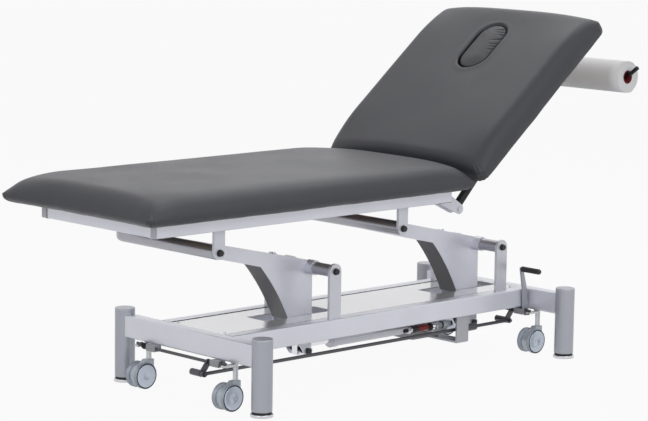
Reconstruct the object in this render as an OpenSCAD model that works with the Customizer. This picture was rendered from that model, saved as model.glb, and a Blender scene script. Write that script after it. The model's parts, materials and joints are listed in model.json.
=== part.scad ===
// Hydraulic treatment table: two-section couch on a parallelogram lift, with a raised
// backrest, a face opening with its plug, a paper roll and a caster set worked by a hand lever.
// X runs from the foot end to the head end, Y from the near side to the far side, Z up.
// The origin is on the floor under the middle of the four legs.

/* [Base frame] */
// Distance between the leg axes along the table
leg_pitch_x = 1320; // [1150:10:1500]
// Distance between the leg axes across the table
leg_pitch_y = 630; // [600:10:700]
// Outer diameter of a leg
leg_d = 62; // [50:1:70]
// Height of a leg with its cap
leg_h = 229; // [215:1:245]
// Wall of the leg and rail tubes
tube_wall = 2.5; // [1.5:0.5:4]
// Width of the base rails
rail_w = 40; // [34:1:44]
// Height of the long rails
rail_h = 60; // [50:1:66]
// Height of the cross rails, whose tops are level with the long rails
cross_h = 68; // [60:1:74]
// Height of the long rails' lower face above the floor
rail_z = 150; // [144:1:156]
// Distance between the middles of the two long rails
long_rail_pitch = 290; // [280:2:310]
// Thickness of the cover plate between the long rails
cover_t = 3; // [2:0.5:5]

/* [Lift arms] */
// Height of the lower arm pivots above the floor
pivot_z = 355.5; // [349:0.5:364]
// Place of the foot-end lower pivot along the table
foot_pivot_x = -220; // [-250:5:-200]
// Distance between the two lower pivots
pivot_pitch = 746; // [720:2:760]
// Length of a lift arm between its pivots
arm_len = 540; // [500:5:570]
// Angle of the arms above the floor as the table stands
arm_angle = 12.8; // [10:0.2:16]
// Width of the closed arm box
box_w = 76; // [66:1:84]
// Height of the arm section
arm_h = 39; // [34:1:44]
// Sheet thickness of the arm box
sheet_t = 3; // [2:0.5:4]
// Diameter of the lower cross tube
lower_tube_d = 38; // [34:1:42]
// Diameter of the upper cross tube
upper_tube_d = 42; // [36:1:46]
// Diameter of the pivot bolts
bolt_d = 16; // [12:1:18]

/* [Upper frame] */
// Width over the side rails
frame_w = 528; // [500:4:560]
// Place of the foot end of the upper frame
frame_foot_x = -1013; // [-1060:5:-960]
// Place of the head end of the side rails
frame_head_x = 170; // [150:5:180]
// Side of the square tube of the upper frame
frame_tube = 40; // [35:1:42]
// Height of the upper face of the frame as the table stands
frame_top_z = 586; // [579:1:594]

/* [Upholstery] */
// Width of both cushions at their widest line
cushion_w = 690; // [650:5:720]
// Thickness of a cushion at its crown, with its board
cushion_t = 87; // [75:1:95]
// Radius of the cushion corners seen from above
cushion_corner = 14; // [8:1:24]
// Foot end of the seat cushion
seat_foot_x = -1107; // [-1130:1:-1085]
// Head end of the seat cushion
seat_head_x = 202; // [196:1:205]
// Thickness of the boards under the cushions
board_t = 15; // [12:1:18]
// Length of the back cushion
back_len = 722; // [700:2:760]
// Length of the face opening
face_len = 210; // [180:5:230]
// Width of the face opening
face_w = 118; // [100:2:130]

/* [Backrest] */
// Angle of the backrest as the table stands
back_angle = 39; // [20:1:40]
// Place of the backrest hinge along the table
hinge_x = 211; // [209:1:220]
// Depth of the hinge axis below the underside of the cushions
hinge_drop = 20; // [18:1:22]
// Diameter of the gas spring body
spring_d = 27; // [22:1:27]

/* [Paper roll] */
// Length of the paper roll
roll_len = 590; // [500:10:590]
// Outer diameter of the paper roll
roll_d = 105; // [80:5:120]

/* [Casters] */
// Diameter of a caster wheel
wheel_d = 80; // [74:1:84]
// Distance of the caster stems from the middle of the table
stem_y = 199; // [196:1:202]
// Distance from the stem to the wheel axle
trail = 30; // [26:1:32]

/* [Hidden] */
$fn = 48;

// Overrun of every cut, running gap of a pin in its bore, gap beside a turning part,
// and gap between a round piece and the hole that it is welded in
over = 1;
fit = 0.05;
side_gap = 0.5;
weld_gap = 0.15;
// Gap of a soft part from its neighbours, and of a pivot that closes a loop
soft_gap = 0.3;
loop_gap = 0.3;

// Legs: cap, black ring and foot disc
cap_t = 5;
cap_round = 2;
ring_h = 7;
foot_d = 68;
foot_h = 9;
ring_d = 59;
leg_x = leg_pitch_x / 2;
leg_y = leg_pitch_y / 2;

// Base rails
rail_round = 5;
rail_top = rail_z + rail_h;
cross_z = rail_top - cross_h;
long_y = long_rail_pitch / 2;
long_x = leg_x - rail_w / 2;

// Cover plate: its place below the rail tops, the slots and the folded edges
cover_drop = 2;
cover_gap = 0.15;
cover_lip = 14;
cover_top = rail_top - cover_drop;
slot_foot = 185;
slot_head = 100;
slot_w = box_w + 14;
slot_round = 8;
screw_d = 8;
screw_h = 2;
screw_edge = 18;

// Posts and their bolts; the far posts stand nearer to the middle than the near ones
post_w = 48;
post_t = 9;
post_y = 151.5;
far_post_y = 135;
head_r = 9.5;
head_t = 7;
washer_r = 10.5;
washer_t = 2;
pin_seat = 24;
pivot_x = [foot_pivot_x, foot_pivot_x + pivot_pitch];

// Arm geometry in the plane of the pivots, as the table stands
arm_dx = -arm_len * cos(arm_angle);
arm_dz = arm_len * sin(arm_angle);
top_pivot_z = pivot_z + arm_dz;
top_pivot_x = [pivot_x[0] + arm_dx, pivot_x[1] + arm_dx];
near_half = post_y - post_t / 2 - side_gap;
far_half = far_post_y - post_t / 2 - side_gap;

// Arm box outline: right edge, curved gusset edge and lever lugs below
box_right = 13;
gusset_top = [-201, 20];
gusset_low = [-84, -155];
gusset_sag = 8;
lug_left = [-60, -205];
lever_drop = 265;
tie_drop = 200;
lug_r = 18;
face_low = 165;
collar_l = 30;
collar_t = 4;
nipple_x = -117;
nipple_r = 4;
nipple_h = 6;

// Tie bar and ram
tie_h = 20;
tie_t = 8;
tie_eye_r = 14;
lever_pin_d = 14;
ram_lift = 15.5;
ram_z = pivot_z - lever_drop + ram_lift;
ram_bore = 40;
ram_wall = 4;
ram_rod_d = 24;
ram_front = 125;
ram_len = 335;
gland_t = 22;
yoke_w = 44;
yoke_h = 62;
yoke_t = 24;
yoke_slot = 19;
yoke_travel = 31;
piston_t = 20;
ram_stroke_back = 152;

// Pump on its cradle
cradle_x = 360;
cradle_w = 54;
cradle_t = 6;
cradle_z = 61;
pump_l = 122;
pump_w = 94;
pump_h = 62;
pump_x0 = pivot_x[0] + ram_front + ram_len;
pump_y0 = -38;
pump_round = 6;
tank_d = 40;
tank_l = 70;
valve_d = 20;
valve_l = 26;

// Pedal on the far side
pedal_x = 300;
pedal_y = 72;
pedal_z = 94;
pedal_w = 18;
pedal_t = 8;
pedal_reach = 200;
pedal_hub_r = 11;
pad_l = 60;
pad_w = 90;
pad_t = 12;

// Upper frame
frame_y = frame_w / 2;
frame_low_z = frame_top_z - frame_tube;
frame_round = 4;
mid_rail_x = -480;
tab_w = 40;
tab_t = 10;
tab_top = frame_top_z - 8;
tab_y = frame_y - frame_tube;
upper_half = tab_y - tab_t - side_gap;

// Backrest hinge and gas springs, in the plane of the hinge
hinge_z = frame_top_z - hinge_drop;
plate_t = 6;
plate_y = 183.5;
hinge_pin_d = 12;
hinge_eye_r = 13;
spring_low = [207, 522];
spring_y = frame_y - frame_tube / 2;
spring_eye = [262, 4];
spring_body_l = 190;
spring_rod_d = 10;
eye_r = 11;
eye_t = 14;
eye_pin_d = 10;
eye_play = 2.2;
bracket_t = 4;
bracket_back = 52;
bracket_r = 16;
eye_x = hinge_x + spring_eye[0] * cos(back_angle) - spring_eye[1] * sin(back_angle);
eye_z = hinge_z + spring_eye[0] * sin(back_angle) + spring_eye[1] * cos(back_angle);
spring_span = norm([eye_x - spring_low[0], eye_z - spring_low[1]]);
spring_angle = atan2(eye_z - spring_low[1], eye_x - spring_low[0]);

// Back frame, in its own plane: distance from the hinge and height above its axis
back_start = 44;
back_end = back_start + back_len;
back_tube_w = 30;
back_tube_h = 25;
back_tube_y = 205;
back_tube_start = 22;
back_cross_share = [0.06, 0.47, 0.96];
tube_from_end = 14;
seat_mid_x = (seat_foot_x + seat_head_x) / 2;
seat_half = (seat_head_x - seat_foot_x) / 2;
back_mid = back_start + back_len / 2;
face_from_end = 208;
face_mid = back_end - face_from_end;
plug_gap = 1.2;
plug_dome = 5;
plug_rise = 1.5;

// Cushion section: how far the underside lies inside the widest line and how far the ends
// are drawn in between the corners, on the seat and on the back
seat_under = 55;
seat_pull = 11;
back_under = 5;
back_pull = 3.5;
// Height of the widest line, rounding of the edge over it, and fall of the face to the sides
belly_share = 0.36;
belly = cushion_t * belly_share;
edge_round = 43;
side_drop = 3;
// Fall of the face at the corners, and how far from the ends it starts
corner_drop = 32;
corner_reach = 150;
// Distance of the board's edge from the underside's edge, and the board's corners
board_in = 6;
board_corner = 12;

// Paper roll, its core and the bent holder, placed from the head end of the back
roll_past_end = 29;
roll_depth = 218;
roll_at = [back_end + roll_past_end, -roll_depth];
core_d = 44;
core_wall = 3;
holder_d = 14;
holder_bend = 16;
holder_far = roll_len / 2 + holder_bend + soft_gap;
hook_past_roll = 11;
holder_near = roll_len / 2 + hook_past_roll;
hook_l = 36;
hook_dir = [0, -0.8, 0.6];
holder_from_end = 27;
holder_up = 2;
holder_start = [back_end - holder_from_end, holder_up];
roll_x = hinge_x + roll_at[0] * cos(back_angle) - roll_at[1] * sin(back_angle);
roll_z = hinge_z + roll_at[0] * sin(back_angle) + roll_at[1] * cos(back_angle);
holder_z = roll_z + core_d / 2 - core_wall - holder_d / 2 - soft_gap;

// Caster gear: shafts beside the cross rails, cranks, fingers and the link rod
shaft_back = 30;
shaft_z = 132;
shaft_d = 10;
shaft_half = 187;
block_y = 147;
block_l = 38;
block_w = 28;
block_low = 9;
block_h = cross_z - shaft_z + block_low;
crank_y = -112;
crank_t = 6;
crank_r = 9;
crank_at = [-26, -32];
knuckle_d = 20;
knuckle_l = 44;
link_d = 11;
link_y = -121;
link_eye_r = 9;
coupler_d = 24;
coupler_l = 46;
coupler_x = 420;
finger_y = 183;
finger_t = 6;
finger_at = [-11.7, 9];
finger_pin_d = 8;
finger_reach = 18;
lever_y = -172;
lever_t = 6;
lever_w = 18;
lever_boss_r = 11.5;
lever_mid = [-11, 87];
lever_top = [-25, 146];
grip_d = 18;
grip_l = 80;

// Casters
stem_d = 16;
stem_base_z = 88;
stem_top = 192;
swivel_d = 9;
swivel_l = 22;
guide_d = 22;
guide_h = 40;
guide_lip = 3;
arm_plate_t = 6;
wheel_clear = 1.5;
wheel_t = 17;
wheel_gap = 11;
hub_d = 50;
rim_bevel = 3;
hood_t = 20;
hood_r = 35;
axle_d = 8;
axle_z = wheel_clear + wheel_d / 2;
fork_top = stem_base_z - side_gap;

// Shared shapes

// Rounded rectangle that keeps true arcs
module round_rect(w, h, r) {
    square([w - 2 * r, h], center = true);
    square([w, h - 2 * r], center = true);
    for (sx = [-1, 1], sy = [-1, 1])
        translate([sx * (w / 2 - r), sy * (h / 2 - r)]) circle(r);
}

module tube_section(w, h, r, t) {
    difference() {
        round_rect(w, h, r);
        round_rect(w - 2 * t, h - 2 * t, r - t);
    }
}

// Extrusions along X and along Y, centred
module along_x(len) rotate([90, 0, 90]) linear_extrude(len, center = true) children();
module along_y(len) rotate([90, 0, 0]) linear_extrude(len, center = true) children();

// Round bar across the table, centred on Y
module bar_y(d, len) rotate([90, 0, 0]) cylinder(d = d, h = len, center = true);

module stadium(len, w) {
    square([len - w, w], center = true);
    for (s = [-1, 1]) translate([s * (len - w) / 2, 0]) circle(w / 2);
}

// Frame of the backrest: distance along it, across, and height over the hinge axis
module on_back() translate([hinge_x, 0, hinge_z]) rotate([0, -back_angle, 0]) children();

// Base frame

module legs() {
    color("slategray")
    for (sx = [-1, 1], sy = [-1, 1]) translate([sx * leg_x, sy * leg_y, foot_h + ring_h])
        difference() {
            cylinder(d = leg_d, h = leg_h - cap_t - foot_h - ring_h);
            translate([0, 0, -over])
                cylinder(d = leg_d - 2 * tube_wall, h = leg_h + 2 * over);
        }
}

module leg_caps() {
    color("lightgray")
    for (sx = [-1, 1], sy = [-1, 1]) translate([sx * leg_x, sy * leg_y, leg_h - cap_t])
        rotate_extrude() {
            square([leg_d / 2 - cap_round, cap_t]);
            square([leg_d / 2, cap_t - cap_round]);
            translate([leg_d / 2 - cap_round, cap_t - cap_round]) circle(cap_round);
        }
}

module foot_rings() {
    color("black")
    for (sx = [-1, 1], sy = [-1, 1]) translate([sx * leg_x, sy * leg_y, foot_h])
        cylinder(d = ring_d, h = ring_h);
}

module foot_discs() {
    color("silver")
    for (sx = [-1, 1], sy = [-1, 1]) translate([sx * leg_x, sy * leg_y, 0])
        rotate_extrude() {
            square([foot_d / 2 - cap_round, foot_h]);
            square([foot_d / 2, foot_h - cap_round]);
            translate([foot_d / 2 - cap_round, foot_h - cap_round]) circle(cap_round);
        }
}

module cross_rails() {
    color("lightsteelblue")
    for (sx = [-1, 1]) translate([sx * leg_x, 0, cross_z + cross_h / 2])
        difference() {
            along_y(leg_pitch_y) tube_section(rail_w, cross_h, rail_round, tube_wall);
            for (sy = [-1, 1]) translate([0, sy * leg_y, 0]) {
                cylinder(d = leg_d + 2 * weld_gap, h = cross_h + 2 * over, center = true);
                translate([0, -sy * (leg_y - stem_y), -cross_h / 2 - over])
                    cylinder(d = guide_d + 2 * weld_gap, h = cross_h / 2);
            }
        }
}

module long_rails() {
    color("lightsteelblue")
    for (sy = [-1, 1]) translate([0, sy * long_y, rail_z + rail_h / 2])
        along_x(2 * long_x) tube_section(rail_w, rail_h, rail_round, tube_wall);
}

module cover_plate() {
    w = long_rail_pitch - rail_w - 2 * cover_gap;
    l = 2 * (long_x - cover_gap);
    color("whitesmoke")
    difference() {
        translate([0, 0, cover_top - cover_lip / 2]) difference() {
            cube([l, w, cover_lip], center = true);
            translate([0, 0, -cover_t])
                cube([l - 2 * cover_t, w - 2 * cover_t, cover_lip], center = true);
        }
        for (px = pivot_x)
            translate([px + (slot_head - slot_foot) / 2, 0, cover_top - cover_lip])
                linear_extrude(cover_lip + over)
                    round_rect(slot_head + slot_foot, slot_w, slot_round);
    }
}

module cover_screws() {
    color("gray")
    for (sx = [-1, 1], sy = [-1, 1])
        translate([sx * (long_x - screw_edge), sy * (long_y - rail_w / 2 - screw_edge), cover_top])
            difference() {
                cylinder(d = screw_d, h = screw_h);
                translate([0, 0, screw_h / 2]) cylinder(d = screw_d / 2, h = screw_h, $fn = 6);
            }
}

module posts() {
    color("silver")
    for (px = pivot_x, y = [-post_y, far_post_y])
        translate([px, y, 0]) difference() {
            along_y(post_t) union() {
                translate([-post_w / 2, rail_top]) square([post_w, pivot_z - rail_top]);
                translate([0, pivot_z]) circle(post_w / 2);
            }
            translate([0, 0, pivot_z]) bar_y(bolt_d + 2 * weld_gap, post_t + 2 * over);
        }
}

// A bolt whose head is outside and whose shank seats in a tube end
module pivot_bolt(face_y, shank) {
    translate([0, face_y, 0]) rotate([-90, 0, 0]) {
        translate([0, 0, -shank]) cylinder(d = bolt_d, h = shank + over);
        cylinder(r = washer_r, h = washer_t);
        cylinder(r = head_r, h = washer_t + head_t, $fn = 6);
    }
}

module post_bolts() {
    color("black")
    for (px = pivot_x) translate([px, 0, pivot_z]) {
        pivot_bolt(far_post_y + post_t / 2, post_t + pin_seat);
        mirror([0, 1, 0]) pivot_bolt(post_y + post_t / 2, post_t + pin_seat);
    }
}

module shaft_blocks() {
    color("gainsboro")
    for (sx = [-1, 1], sy = [-1, 1])
        translate([sx * leg_x - shaft_back, sy * block_y, shaft_z]) difference() {
            translate([block_w / 2 - block_low, 0, cross_z - shaft_z - block_h / 2])
                cube([block_w, block_l, block_h], center = true);
            bar_y(shaft_d + 2 * fit, block_l + 2 * over);
        }
}

module stem_guides() {
    color("dimgray")
    for (sx = [-1, 1], sy = [-1, 1])
        translate([sx * leg_x, sy * stem_y, cross_z]) difference() {
            union() {
                translate([0, 0, -guide_lip]) cylinder(d = guide_d + 2 * guide_lip, h = guide_lip);
                cylinder(d = guide_d, h = guide_h - rail_round);
            }
            translate([0, 0, -guide_lip - over])
                cylinder(d = stem_d + 2 * fit, h = guide_h + guide_lip + 2 * over);
        }
}

// Hydraulic set

module pump_cradle() {
    drop = rail_z - cradle_z;
    color("gray")
    translate([cradle_x, 0, 0]) along_x(cradle_w) {
        translate([0, cradle_z + cradle_t / 2])
            square([long_rail_pitch, cradle_t], center = true);
        for (s = [-1, 1])
            translate([s * (long_y - cradle_t / 2), cradle_z + drop / 2])
                square([cradle_t, drop], center = true);
    }
}

module pump_body() {
    z0 = cradle_z + cradle_t;
    color("darkgray")
    difference() {
        union() {
            translate([pump_x0 + pump_l / 2, pump_y0 + pump_w / 2, z0]) linear_extrude(pump_h)
                round_rect(pump_l, pump_w, pump_round);
            translate([pump_x0 + pump_l / 2, pump_y0 + pump_w / 4, z0 + pump_h])
                cylinder(d = pump_w / 3, h = pump_round);
            for (s = [-1, 1])
                translate([pedal_x + s * (pedal_w + pedal_t) / 2, 0, 0]) along_x(pedal_t)
                    union() {
                        translate([pump_y0 + pump_w - over, pedal_z - pedal_hub_r])
                            square([pedal_y - pump_y0 - pump_w + over, 2 * pedal_hub_r]);
                        translate([pedal_y, pedal_z]) circle(pedal_hub_r);
                    }
        }
        translate([pedal_x, pedal_y, pedal_z]) rotate([0, 90, 0])
            cylinder(d = lever_pin_d / 2 + 2 * fit, h = pump_l, center = true);
    }
}

module pump_reservoir() {
    color("aliceblue")
    translate([pump_x0 + pump_l - tank_l / 2, pump_y0 - tank_d / 2, ram_z])
        rotate([0, 90, 0]) rotate_extrude() {
            translate([0, -tank_l / 2]) square([tank_d / 2 - cap_round, tank_l]);
            translate([0, cap_round - tank_l / 2]) square([tank_d / 2, tank_l - 2 * cap_round]);
            for (s = [-1, 1]) translate([tank_d / 2 - cap_round, s * (tank_l / 2 - cap_round)])
                circle(cap_round);
        }
}

module release_valve() {
    color("firebrick")
    translate([pump_x0 + valve_d, pump_y0, ram_z]) rotate([90, 0, 0]) {
        cylinder(d = valve_d / 2, h = valve_l / 2);
        translate([0, 0, valve_l / 2]) cylinder(d = valve_d, h = valve_l / 2);
    }
}

module ram_barrel() {
    x0 = pivot_x[0] + ram_front;
    color("lightgray")
    translate([x0, 0, ram_z]) rotate([0, 90, 0]) difference() {
        union() {
            cylinder(d = ram_bore + 2 * ram_wall, h = ram_len);
            cylinder(d = ram_bore + 3 * ram_wall, h = gland_t);
        }
        translate([0, 0, gland_t]) cylinder(d = ram_bore, h = ram_len - gland_t - ram_wall);
        translate([0, 0, -over]) cylinder(d = ram_rod_d + 2 * fit, h = gland_t + 2 * over);
    }
}

// Crosshead, rod and piston; the slot lets the lever pin rise and fall along its arc
module ram_rod() {
    slot_mid = yoke_travel / 2 - ram_lift;
    rod_l = ram_front + gland_t + ram_stroke_back;
    color("silver")
    translate([pivot_x[0], 0, ram_z]) {
        difference() {
            along_y(yoke_t) round_rect(yoke_w, yoke_h, rail_round);
            translate([0, 0, slot_mid]) rotate([0, 90, 0]) along_y(yoke_t + 2 * over)
                stadium(yoke_travel + yoke_slot, yoke_slot);
        }
        translate([yoke_w / 2 - over, 0, 0]) rotate([0, 90, 0])
            cylinder(d = ram_rod_d, h = rod_l - yoke_w / 2);
        translate([rod_l - piston_t, 0, 0]) rotate([0, 90, 0])
            cylinder(d = ram_bore - 2 * fit, h = piston_t);
    }
}

module pedal_lever() {
    color("dimgray")
    translate([pedal_x, pedal_y, pedal_z]) {
        rotate([0, 90, 0]) {
            cylinder(d = 2 * pedal_hub_r, h = pedal_w - 2 * side_gap, center = true);
            cylinder(d = lever_pin_d / 2, h = pedal_w + 2 * pedal_t, center = true);
        }
        translate([0, pedal_reach / 2, 0])
            cube([pedal_w - 2 * side_gap, pedal_reach, pedal_t], center = true);
        translate([0, pedal_reach + pad_l / 2, 0]) cube([pad_w, pad_l, pedal_t], center = true);
    }
}

module pedal_pad() {
    ribs = 5;
    color("black")
    translate([pedal_x, pedal_y + pedal_reach + pad_l / 2, pedal_z + pedal_t / 2]) {
        linear_extrude(pad_t - cap_round) round_rect(pad_w, pad_l, cap_round);
        for (i = [0:ribs - 1]) translate([0, (i - (ribs - 1) / 2) * pad_l / ribs, pad_t / 2])
            cube([pad_w - 2 * pad_t, pad_l / ribs / 2, pad_t], center = true);
    }
}

// Lift arms

// The gusset edge: an arc sagging to the right of its chord
function gusset(n, inset) = let (d = gusset_low - gusset_top, l = norm(d))
    [for (i = [0:n]) let (s = i / n, bow = 4 * s * (1 - s) * gusset_sag + inset)
        gusset_top + s * d + bow * [-d[1], d[0]] / l];

// Where the arm's lower edge meets the gusset
function arm_line(x, off) = -x * tan(arm_angle) + off / cos(arm_angle);

module box_outline() {
    far_x = arm_dx;
    lug_n = 8;
    polygon(concat(
        [[far_x, arm_line(far_x, arm_h / 2)], [box_right, arm_line(box_right, arm_h / 2)],
            [box_right, lug_r / 2 - lever_drop]],
        [for (i = [0:lug_n]) let (a = 20 - 160 * i / lug_n)
            [lug_r * cos(a), lug_r * sin(a) - lever_drop]],
        [lug_left],
        [for (i = [12:-1:0]) gusset(12, 0)[i]],
        [[far_x, arm_line(far_x, -arm_h / 2)]]));
}

// The space between the side plates, open below the cover
module box_cavity() {
    t = sheet_t;
    far_x = arm_dx + upper_tube_d / 2 + t;
    low = -2 * lever_drop;
    polygon(concat(
        [[far_x, arm_line(far_x, arm_h / 2 - t)],
            [box_right - t, arm_line(box_right - t, arm_h / 2 - t)],
            [box_right - t, -face_low], [box_right + lug_r, -face_low],
            [box_right + lug_r, low], [lug_left[0] * 2, low], [lug_left[0] * 2, gusset_low[1]]],
        [for (i = [12:-1:1]) gusset(12, t)[i]],
        [[gusset_top[0] + t, arm_line(gusset_top[0], t - arm_h / 2)],
            [far_x, arm_line(far_x, t - arm_h / 2)]]));
}

// Folded box with a collar round the lower tube on both sides
module arm_box(px) {
    translate([px, 0, pivot_z]) {
        difference() {
            union() {
                difference() {
                    along_y(box_w) box_outline();
                    along_y(box_w - 2 * sheet_t) box_cavity();
                }
                for (s = [-1, 1]) translate([0, s * (box_w + collar_l - over) / 2, 0])
                    bar_y(lower_tube_d + 2 * collar_t, collar_l + over);
            }
            bar_y(lower_tube_d + 2 * weld_gap, box_w + 2 * collar_l + 2 * over);
            translate([arm_dx, 0, arm_dz]) bar_y(upper_tube_d + 2 * weld_gap, box_w + 2 * over);
            for (z = [tie_drop, lever_drop])
                translate([0, 0, -z]) bar_y(lever_pin_d + 2 * weld_gap, box_w + 2 * over);
        }
        translate([nipple_x, 0, arm_line(nipple_x, arm_h / 2)]) rotate([0, arm_angle, 0])
            translate([0, 0, -side_gap]) cylinder(r = nipple_r, h = nipple_h);
    }
}

// Tube across the arm, with a seat for a bolt at each end
module pivot_tube(d, near, far) {
    translate([0, (far - near) / 2, 0]) difference() {
        bar_y(d, near + far);
        bar_y(d - 4 * tube_wall, near + far - 2 * pin_seat);
        bar_y(bolt_d + 2 * fit, near + far + 2 * over);
    }
}

module arm_tubes(px) {
    color("dimgray") {
        translate([px, 0, pivot_z]) pivot_tube(lower_tube_d, near_half, far_half);
        translate([px + arm_dx, 0, top_pivot_z])
            pivot_tube(upper_tube_d, upper_half, upper_half);
    }
}

module lever_pin(z) {
    translate([0, 0, -z]) {
        bar_y(lever_pin_d, box_w + 2 * sheet_t);
        for (s = [-1, 1]) translate([0, s * (box_w / 2 + sheet_t), 0])
            bar_y(lever_pin_d + 2 * sheet_t, 2 * sheet_t - 2 * weld_gap);
    }
}

module foot_arm_box() { color("lightsteelblue") arm_box(pivot_x[0]); }
module head_arm_box() { color("lightsteelblue") arm_box(pivot_x[1]); }
module foot_arm_tubes() { arm_tubes(pivot_x[0]); }
module head_arm_tubes() { arm_tubes(pivot_x[1]); }

module foot_lever_pins() {
    color("black") translate([pivot_x[0], 0, pivot_z]) {
        lever_pin(tie_drop);
        lever_pin(lever_drop);
    }
}

// The head arm's lower pin carries a spacer where the foot arm's pin carries the crosshead
module head_lever_pins() {
    color("black") translate([pivot_x[1], 0, pivot_z]) {
        lever_pin(tie_drop);
        lever_pin(lever_drop);
        translate([0, 0, -lever_drop])
            bar_y(2 * lug_r, box_w - 2 * sheet_t - 2 * weld_gap);
    }
}

module tie_bar() {
    color("silver")
    translate([0, 0, pivot_z - tie_drop]) difference() {
        along_y(tie_t) union() {
            translate([pivot_x[0] + pivot_pitch / 2, 0]) square([pivot_pitch, tie_h], center = true);
            for (px = pivot_x) translate([px, 0]) circle(tie_eye_r);
        }
        translate([pivot_x[0], 0, 0]) bar_y(lever_pin_d + 2 * fit, tie_t + 2 * over);
        translate([pivot_x[1], 0, 0]) bar_y(lever_pin_d + 2 * loop_gap, tie_t + 2 * over);
    }
}

// Upper frame

// Side rails closed at the foot end, and the cross rails between them
module frame_rails() {
    inner = frame_w - 2 * frame_tube;
    mid_z = frame_top_z - frame_tube / 2;
    long = frame_head_x - frame_foot_x;
    hollow = frame_tube - 2 * tube_wall;
    color("lightsteelblue") {
        for (sy = [-1, 1])
            translate([frame_foot_x + long / 2, sy * (frame_y - frame_tube / 2), mid_z]) difference() {
                along_x(long) round_rect(frame_tube, frame_tube, frame_round);
                translate([tube_wall, 0, 0])
                    along_x(long) round_rect(hollow, hollow, frame_round - tube_wall);
            }
        for (x = [frame_foot_x + frame_tube / 2, mid_rail_x, frame_head_x - frame_tube / 2])
            translate([x, 0, mid_z])
                along_y(inner) tube_section(frame_tube, frame_tube, frame_round, tube_wall);
    }
}

module frame_tabs() {
    color("silver")
    for (px = top_pivot_x, sy = [-1, 1])
        translate([px, sy * (tab_y - tab_t / 2), 0]) difference() {
            along_y(tab_t) union() {
                translate([-tab_w / 2, top_pivot_z]) square([tab_w, tab_top - top_pivot_z]);
                translate([0, top_pivot_z]) circle(tab_w / 2);
            }
            translate([0, 0, top_pivot_z]) bar_y(bolt_d + 2 * weld_gap, tab_t + 2 * over);
        }
}

// The foot arm's bolts run close in their bores; the head arm's bolts close the loop
module tab_bolts() {
    color("black")
    for (i = [0, 1], sy = [-1, 1]) translate([top_pivot_x[i], 0, top_pivot_z])
        mirror([0, sy < 0 ? 1 : 0, 0]) pivot_bolt(tab_y, tab_t + pin_seat);
}

// Channel under the end of a side rail: two side plates on a web, with the spring's pin
module spring_brackets() {
    low = spring_low;
    back = [frame_head_x - bracket_back, frame_low_z];
    up = [frame_head_x + weld_gap, frame_low_z + frame_tube / 2];
    slope = atan2(low[1] - bracket_r - back[1], low[0] - back[0]);
    wide = frame_tube - 2 * bracket_t;
    color("lightgray")
    for (sy = [-1, 1]) translate([0, sy * spring_y, 0]) {
        for (s = [-1, 1]) translate([0, s * (frame_tube - bracket_t) / 2, 0]) difference() {
            along_y(bracket_t) union() {
                polygon([back, [frame_head_x + weld_gap, frame_low_z], up,
                    low + bracket_r * [cos(60), sin(60)], low - bracket_r * [sin(24), cos(24)]]);
                translate(low) circle(bracket_r);
            }
            translate([low[0], 0, low[1]]) bar_y(eye_pin_d + 2 * weld_gap, 2 * bracket_t);
        }
        translate([back[0], 0, back[1]]) rotate([0, -slope, 0])
            translate([bracket_t, -wide / 2, -over])
                cube([norm(low - back) - bracket_r - bracket_t, wide, bracket_t - over]);
        translate([low[0], 0, low[1]]) {
            bar_y(eye_pin_d, frame_tube + 2 * bracket_t);
            for (s = [-1, 1]) translate([0, s * (frame_tube / 2 + bracket_t / 2), 0])
                bar_y(bracket_r, bracket_t);
        }
    }
}

module hinge_plates() {
    color("silver")
    for (sy = [-1, 1]) translate([0, sy * (plate_y + plate_t / 2), 0]) difference() {
        along_y(plate_t) union() {
            translate([frame_head_x, hinge_z - hinge_eye_r])
                square([hinge_x - frame_head_x, 2 * hinge_eye_r]);
            translate([hinge_x, hinge_z]) circle(hinge_eye_r);
        }
        translate([hinge_x, 0, hinge_z]) bar_y(hinge_pin_d + 2 * weld_gap, plate_t + 2 * over);
    }
}

module hinge_pins() {
    ear_y = plate_y + plate_t + side_gap;
    color("dimgray")
    for (sy = [-1, 1]) translate([hinge_x, 0, hinge_z]) {
        translate([0, sy * (ear_y + plate_t / 2 - side_gap), 0])
            bar_y(hinge_pin_d, 4 * plate_t);
        translate([0, sy * (plate_y - plate_t / 2), 0]) bar_y(hinge_pin_d * 3 / 2, plate_t);
    }
}

// Upholstery

// Rounded rectangle as a ring of points: some on each corner's arc, then some on each side
quarter = 90;
corner_n = 4;
side_shares = [0.03, 0.07, 0.13, 0.3, 0.5, 0.7, 0.87, 0.93, 0.97];
function corner_at(q, a, b) = [q == 0 || q == 3 ? a : -a, q < 2 ? b : -b];
function ring_plan(a, b, r) = [for (q = [0:3])
    let (from = corner_at(q, a - r, b - r), to = corner_at((q + 1) % 4, a - r, b - r),
        last = quarter * (q + 1), arc_end = from + r * [cos(last), sin(last)])
    for (p = concat(
        [for (i = [0:corner_n - 1]) let (c = quarter * (q + i / (corner_n - 1)))
            from + r * [cos(c), sin(c)]],
        [for (s = side_shares) arc_end + s * (to - from)])) p];

// Share of the full height at a distance inside the widest line, along a quarter ellipse
function rise_share(d) = sqrt(1 - pow(1 - min(d / edge_round, 1), 2));

// Height of the cushion's skin above the widest line: full in the middle, low at the corners
function skin_height(x, y, a, b) =
    let (full = cushion_t - side_drop * pow(abs(y) / b, 2.4),
        z = belly + (full - belly) * rise_share(a - abs(x)) * rise_share(b - abs(y)),
        near_end = max(0, 1 - (a - abs(x)) / corner_reach))
    z - (z - belly) / (cushion_t - belly) * corner_drop * pow(near_end, 2) * pow(abs(y) / b, 3);

// Turns of the section below and above the widest line, then shares of the face's half width
base_turns = [0, 30, 60];
edge_turns = [0, 15, 30, 45, 60, 75, 90];
face_shares = [0.12, 0.3, 0.55, 0.85];

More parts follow.
